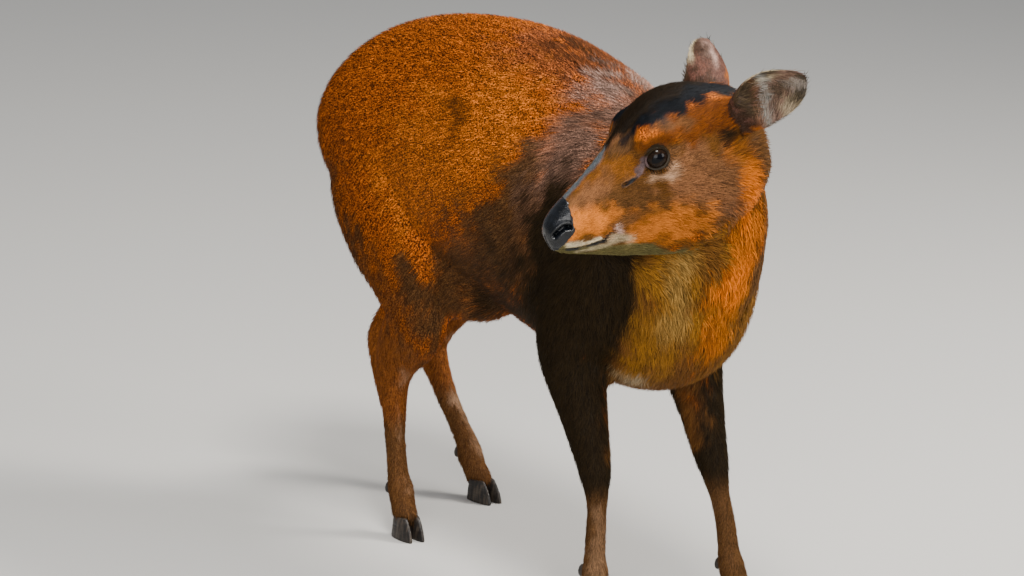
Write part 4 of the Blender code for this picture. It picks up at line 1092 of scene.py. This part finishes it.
def width_of(lengths):
    """How wide a tuft of each length is at its root."""
    return np.clip(lengths * WIDTH_SHARE, NARROWEST, WIDEST)


def unwrapped(obj):
    """Corner places of the object's triangles on an unwrap of its own surface."""
    bpy.context.view_layer.objects.active = obj
    obj.select_set(True)
    bpy.ops.object.mode_set(mode='EDIT')
    bpy.ops.mesh.select_all(action='SELECT')
    bpy.ops.uv.smart_project(angle_limit=radians(66), island_margin=0.004)
    bpy.ops.object.mode_set(mode='OBJECT')
    obj.select_set(False)
    corners = np.empty(len(obj.data.loops) * 2)
    obj.data.uv_layers.active.data.foreach_get("uv", corners)
    return corners.reshape(-1, 3, 2)


def rooted_on(points, normals, triangles, corners, thickness, seed):
    """Even scatter of roots over triangles: places, normals and unwrap places."""
    rng = np.random.default_rng(seed)
    a, b, c = (points[triangles[:, k]] for k in range(3))
    area = np.linalg.norm(np.cross(b - a, c - a), axis=1) / 2
    running = np.cumsum(area * thickness)
    count = int(running[-1])
    aim = (np.arange(count) + rng.random(count)) * running[-1] / count
    hit = np.minimum(np.searchsorted(running, aim), len(triangles) - 1)
    first = np.sqrt(rng.random(count))
    second = rng.random(count)
    share = np.column_stack((1 - first, first * (1 - second), first * second))
    corner_points = points[triangles[hit]]
    corner_normals = normals[triangles[hit]]
    return ((corner_points * share[..., None]).sum(1), unit((corner_normals * share[..., None]).sum(1)),
            (corners[hit] * share[..., None]).sum(1))


def tufts(name, roots, normals, ways, lengths, rises, colours, patches, bent, seed, slim=1.0):
    """One mesh of closed pointed tufts, each on its own patch of the unwrap."""
    rng = np.random.default_rng(seed)
    count = len(roots)
    ways = unit(ways - normals * (ways * normals).sum(1, keepdims=True))
    swing = rng.normal(size=count) * SPREAD_OF_LIE + ripple(roots, 0.012, seed + 1) * WAVER_OF_LIE
    swing = swing[:, None]
    ways = ways * np.cos(swing) + np.cross(normals, ways) * np.sin(swing)
    scatter = 0.18 * rng.normal(size=count).clip(-2, 2)
    lengths = lengths * (1 + scatter + 0.10 * ripple(roots, 0.009, seed + 2))
    rises = rises * rng.uniform(0.45, 1.10, count)
    sides = np.cross(ways, normals)
    reach = np.sqrt(np.maximum(lengths ** 2 - rises ** 2, 1e-10))[:, None]
    lift = rises[:, None]
    half = width_of(lengths)[:, None] * slim / 2
    sunk = roots - normals * ROOT_DEPTH
    base = [sunk + sides * half, sunk - sides * half, sunk + normals * half]
    bases = [sides * 0.7 + normals * 0.7, normals * 0.7 - sides * 0.7, normals]
    tip = roots + ways * reach + normals * lift
    rows, faces, out, along = list(base), [(0, 2, 1)], list(bases), [0.0] * 3
    if bent:
        centre = roots + ways * reach * 0.5 + normals * lift * BEND_SHARE
        rows += [centre + sides * half * 0.8, centre - sides * half * 0.8, centre + normals * half * 0.8]
        out += bases
        along += [0.5] * 3
        faces += [(0, 1, 4), (0, 4, 3), (1, 2, 5), (1, 5, 4), (2, 0, 3), (2, 3, 5)]
    top = len(rows) - 3
    end = len(rows)
    faces += [(top, top + 1, end), (top + 1, top + 2, end), (top + 2, top, end)]
    rows.append(tip)
    out.append(normals * 0.9 + ways * 0.3)
    along.append(1.0)
    each = len(rows)
    points = np.stack(rows, 1).reshape(-1, 3)
    triangles = (np.arange(count)[:, None, None] * each + np.array(faces)[None]).reshape(-1, 3)
    mesh = mesh_of(name, points, triangles)
    mesh.normals_split_custom_set_from_vertices(unit(np.stack(out, 1).reshape(-1, 3)))
    spokes = np.array([(cos(2 * pi * k / 3), sin(2 * pi * k / 3)) for k in range(3)]) * BAKE_PATCH / 2
    spots = list(spokes)
    if bent:
        spots += [spoke * 0.55 for spoke in spokes]
    spots.append(np.zeros(2))
    spots = np.array(spots)
    corner = patches[:, None, None, :] + spots[np.array(faces)][None]
    layer = mesh.uv_layers.new(name="OFBake")
    layer.data.foreach_set("uv", np.clip(corner, 0.0, 1.0).astype(np.float32).ravel())
    paint(mesh, "markings", np.repeat(colours, each, axis=0))
    shade = np.clip(0.5 + 0.24 * rng.normal(size=count) + 0.12 * ripple(roots, 0.010, seed + 3), 0, 1)
    tick = np.clip(rng.random(count) * 0.75 + 0.25 * (0.5 + 0.5 * ripple(roots, 0.006, seed + 4)), 0, 1)
    strand_values = np.empty((count, each, 4))
    strand_values[..., 0] = np.array(along)[None]
    strand_values[..., 1] = shade[:, None]
    strand_values[..., 2] = tick[:, None]
    strand_values[..., 3] = 1
    paint(mesh, "strand", strand_values.reshape(-1, 4))
    mesh.materials.append(coat_finish)
    obj = placed(name, mesh)
    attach(obj, "root")
    print(name, count, "tufts", len(triangles), "triangles")
    return obj


# Every vertex of the skin is told by the solid it lies nearest to
nearest = KDTree(sum(len(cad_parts[node].data.vertices) for node in FLESH))
owners = []
for number, node in enumerate(FLESH):
    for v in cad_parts[node].data.vertices:
        nearest.insert(v.co, len(owners))
        owners.append(number)
nearest.balance()
owner = np.array([owners[nearest.find(p)[1]] for p in skin_points])
centre_of = skin_points[skin_tris].mean(1)
owner_of = owner[skin_tris[:, 0]]
trunk_middle = middle("torso")

# piece, solids it covers, bent or straight, side, fore or hind, material slot
COAT = [
    ("coat_trunk_right_fore", ["torso"], False, -1, 1, "coat_chestnut"),
    ("coat_trunk_right_hind", ["torso"], False, -1, -1, "coat_chestnut"),
    ("coat_trunk_left_fore", ["torso"], False, 1, 1, "coat_chestnut"),
    ("coat_trunk_left_hind", ["torso"], False, 1, -1, "coat_chestnut"),
    ("coat_neck_right", ["neck"], True, -1, 0, "coat_ochre"),
    ("coat_neck_left", ["neck"], True, 1, 0, "coat_ochre"),
    ("coat_head_right", ["head", "nose"], False, -1, 0, "coat_ochre"),
    ("coat_head_left", ["head", "nose"], False, 1, 0, "coat_ochre"),
    ("coat_tail", ["tail"], True, 0, 0, "coat_chestnut"),
    ("coat_forelegs", ["foreleg_left", "foreleg_right", "forefoot_left", "forefoot_right"],
     False, 0, 0, "coat_umber"),
    ("coat_hindlegs", ["hindleg_left", "hindleg_right", "hindfoot_left", "hindfoot_right"],
     False, 0, 0, "coat_umber"),
]
thinning = 1.0
for seed, (name, nodes, bent, flank, end, slot) in enumerate(COAT):
    chosen = np.isin(owner_of, [FLESH.index(node) for node in nodes])
    if "head" in nodes:
        chosen &= in_head(centre_of)[:, 1] * flank >= 0
    elif flank:
        chosen &= (centre_of[:, 1] - trunk_middle.y) * flank >= 0
    if end:
        chosen &= (centre_of[:, 0] - trunk_middle.x) * end >= 0
    mesh, held = cut_out("patch", skin_points, skin_tris, chosen)
    patch = placed("patch", mesh)
    corners = unwrapped(patch)
    triangles = triangles_of(mesh)
    length = lie_at(skin_points[held])[1]
    thickness = COVER * thinning / (0.5 * width_of(length) * length) * (1 - skin_bare[held])
    roots, normals, spots = rooted_on(skin_points[held], skin_normals[held], triangles, corners,
                                      thickness[triangles].mean(1), seed)
    bpy.data.objects.remove(patch)
    bpy.data.meshes.remove(mesh)
    way, length, rise = lie_at(roots)
    colours = markings(roots)
    coat = tufts(name, roots, normals, way, length, rise, colours, spots, bent, seed * 7)
    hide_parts(*[node for node in nodes if node != "nose"])

# Ear hair: short behind, long and pale inside the cup, and a white fringe on the rim
EAR_HAIR = 0.0042
LONGER_IN_THE_CUP = 0.0050
for label, side in (("left", 1), ("right", -1)):
    ear = ears[label]
    triangles = triangles_of(ear.data)
    points, normals = arrays(ear.data)
    copy = placed("patch", mesh_of("patch", points, triangles))
    corners = unwrapped(copy)
    bpy.data.objects.remove(copy)
    root, along, across, _ = ear_axes(side)
    inside = ear_marks(points, normals, side)[1]
    short = COVER * thinning / (0.5 * NARROWEST * EAR_HAIR) * (1 - 0.80 * inside)
    roots, facing, spots = rooted_on(points, normals, triangles, corners,
                                     short[triangles].mean(1), 90 + side)
    colours, inside, rim = ear_marks(roots, facing, side)
    aside = ((roots - root) @ across / EAR_HALF_WIDTH)[:, None]
    way = along + across * aside * 0.25 - across * np.sign(aside) * inside[:, None] * 0.7
    length = EAR_HAIR + LONGER_IN_THE_CUP * inside * (1 - 0.9 * rim)
    rise = 0.0007 + 0.0012 * inside * (1 - 0.9 * rim) + 0.0003 * rim
    pale = np.array((*HAIR["cream"], 0.0))
    colours += (pale - colours) * (inside * 0.06)[:, None]
    coat = tufts("coat_ear_" + label, roots, facing, way, length, rise, colours, spots, False,
                 200 + side)
    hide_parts("ear_" + label)

# Lashes and feelers
# Dark curved lashes stand on the upper lids, and thin stiff feelers on the lips and the chin. They are
# the same bent tufts, much thinner.
LASHES, LASH_LENGTH, LASH_RISE, LASH_SLIM = 34, 0.0078, 0.0026, 0.42
FEELER_LENGTH, FEELER_RISE, FEELER_SLIM = 0.015, 0.0016, 0.24
# Where feelers stand on the left of the muzzle
FEELERS = [(0.170, 0.016, -0.024), (0.164, 0.018, -0.020), (0.166, 0.017, -0.030), (0.158, 0.019, -0.026),
           (0.156, 0.020, -0.033), (0.150, 0.021, -0.022), (0.148, 0.022, -0.030), (0.160, 0.017, -0.034),
           (0.176, 0.010, -0.046), (0.168, 0.011, -0.049), (0.158, 0.011, -0.053), (0.172, 0.006, -0.049),
           (0.150, 0.012, -0.056), (0.140, 0.010, -0.061)]

chosen = on_face(centre_of)
mesh, held = cut_out("patch", skin_points, skin_tris, chosen)
patch = placed("patch", mesh)
corners = unwrapped(patch)
face_tris = held[triangles_of(mesh)]
bpy.data.objects.remove(patch)
bpy.data.meshes.remove(mesh)
face_middles = skin_points[face_tris].mean(1)


def on_skin(spots):
    """The nearest places of the face, their normals, and where they lie on its unwrap."""
    near = [int(np.argmin(((face_middles - spot) ** 2).sum(1))) for spot in spots]
    return face_middles[near], unit(skin_normals[face_tris[near]].mean(1)), corners[near].mean(1)


up_of_head = head_axes @ np.array((0.0, 0.0, 1.0))
for label, side in (("left", 1), ("right", -1)):
    out, along, high = eye_axes(side)
    centre = np.array((EYE_FORWARD, EYE_ASIDE * side, EYE_UP))
    spots, ways = [], []
    for k in range(LASHES):
        turn = radians(15 + 140 * k / (LASHES - 1))
        lid = along * cos(turn) * EYE_HALF_LENGTH * 1.10 + high * sin(turn) * EYE_HALF_HEIGHT * 1.12
        spots.append(from_head(centre + lid + out * 0.0075))
        ways.append(head_axes @ (out + high * 0.30 + along * cos(turn) * 0.5))
    roots, normals, patches = on_skin(spots)
    colours = np.tile(np.array((*HAIR["soot"], 0.0)), (len(roots), 1))
    facing = np.tile(head_axes @ unit(high - out * 0.3), (len(roots), 1))
    lashes = tufts("lashes_" + label, roots, facing, np.array(ways), np.full(len(roots), LASH_LENGTH),
                   np.full(len(roots), LASH_RISE), colours, patches, True, 300 + side, LASH_SLIM)
    flip = np.array((1, side, 1))
    roots, normals, patches = on_skin([from_head(np.array(spot) * flip) for spot in FEELERS])
    facing = np.tile(up_of_head, (len(roots), 1))
    colours = np.tile(np.array((*HAIR["brown"], 0.0)), (len(roots), 1))
    back_of_head = head_axes @ np.array((-1.0, 0.0, 0.0))
    feelers = tufts("feelers_" + label, roots, facing, normals + back_of_head * 0.4 - up_of_head * 0.3,
                    np.full(len(roots), FEELER_LENGTH), np.full(len(roots), FEELER_RISE),
                    colours, patches, True, 310 + side, FEELER_SLIM)

# Room
# A pale plain floor, soft light from above and from the camera's side, and the camera, which stands to
# the right of the doe and a little above her back, as far away as a long lens needs.
CAMERA_AZIMUTH = radians(55)
CAMERA_ELEVATION = radians(16)
CAMERA_ROLL = radians(3)
CAMERA_DISTANCE = 4.8
PHOTO_WIDTH, PHOTO_HEIGHT = 1024, 576
PIXELS_PER_METRE = 1040      # at the aimed place
AIMED_AT = np.array((0.0, -0.065, 0.0))
AIMED_PIXEL = (410, 535)
SENSOR = 36.0
FLOOR_HALF = 9

floor_mesh = bpy.data.meshes.new("floor")
floor_mesh.from_pydata([(x * FLOOR_HALF, y * FLOOR_HALF, 0)
                        for x, y in ((-1, -1), (1, -1), (1, 1), (-1, 1))], [], [(0, 1, 2, 3)])
floor = placed("floor", floor_mesh)
plain, tree, shader = finish("pale floor", 0.85, 0.2)
shader.inputs["Base Color"].default_value = (0.48, 0.47, 0.45, 1)
floor_mesh.materials.append(plain)

world = bpy.data.worlds.new("soft room")
world.use_nodes = True
world.node_tree.nodes["Background"].inputs["Color"].default_value = (0.80, 0.84, 0.90, 1)
world.node_tree.nodes["Background"].inputs["Strength"].default_value = 0.48
bpy.context.scene.world = world

to_camera = np.array((sin(CAMERA_AZIMUTH) * cos(CAMERA_ELEVATION),
                      -cos(CAMERA_AZIMUTH) * cos(CAMERA_ELEVATION), sin(CAMERA_ELEVATION)))
level = np.array((cos(CAMERA_AZIMUTH), sin(CAMERA_AZIMUTH), 0.0))
rising = np.cross(to_camera, level)
right = cos(CAMERA_ROLL) * level + sin(CAMERA_ROLL) * rising
upward = cos(CAMERA_ROLL) * rising - sin(CAMERA_ROLL) * level
focal = PIXELS_PER_METRE * CAMERA_DISTANCE
view = (-to_camera + right * (PHOTO_WIDTH / 2 - AIMED_PIXEL[0]) / focal
        - upward * (PHOTO_HEIGHT / 2 - AIMED_PIXEL[1]) / focal)
back = unit(-view)
right = unit(right - back * (right @ back))
upward = np.cross(back, right)
camera_data = bpy.data.cameras.new("camera")
camera = placed("camera", camera_data)
camera_data.sensor_width = SENSOR
camera_data.lens = SENSOR * focal * np.linalg.norm(view) / PHOTO_WIDTH
turn = Matrix((Vector(right), Vector(upward), Vector(back))).transposed().to_4x4()
stand = body_base + AIMED_AT + to_camera * CAMERA_DISTANCE
camera.matrix_world = Matrix.Translation(Vector(stand)) @ turn
camera_data.clip_start = 0.1
camera_data.clip_end = 60
bpy.context.scene.camera = camera


def soft_light(name, place, target, size, power, colour):
    """A large square light aimed at a place."""
    data = bpy.data.lights.new(name, 'AREA')
    data.shape = 'SQUARE'
    data.size = size
    data.energy = power
    data.color = colour
    light = placed(name, data)
    light.location = place
    light.rotation_mode = 'QUATERNION'
    light.rotation_quaternion = (Vector(target) - Vector(place)).to_track_quat('-Z', 'Y')


trunk = middle("torso")
soft_light("key", (0.9, -0.5, 2.7), trunk, 0.8, 100, (1.0, 0.97, 0.92))
soft_light("front", (2.4, -1.9, 1.2), trunk, 1.5, 56, (1.0, 0.98, 0.95))
soft_light("low front", (1.7, -1.7, 0.4), trunk, 1.2, 10, (1.0, 0.98, 0.95))
soft_light("right", (2.0, 1.1, 1.2), trunk, 1.0, 30, (1.0, 0.97, 0.93))
soft_light("sun side", (0.4, 1.7, 2.1), trunk, 0.7, 84, (1.0, 0.96, 0.90))
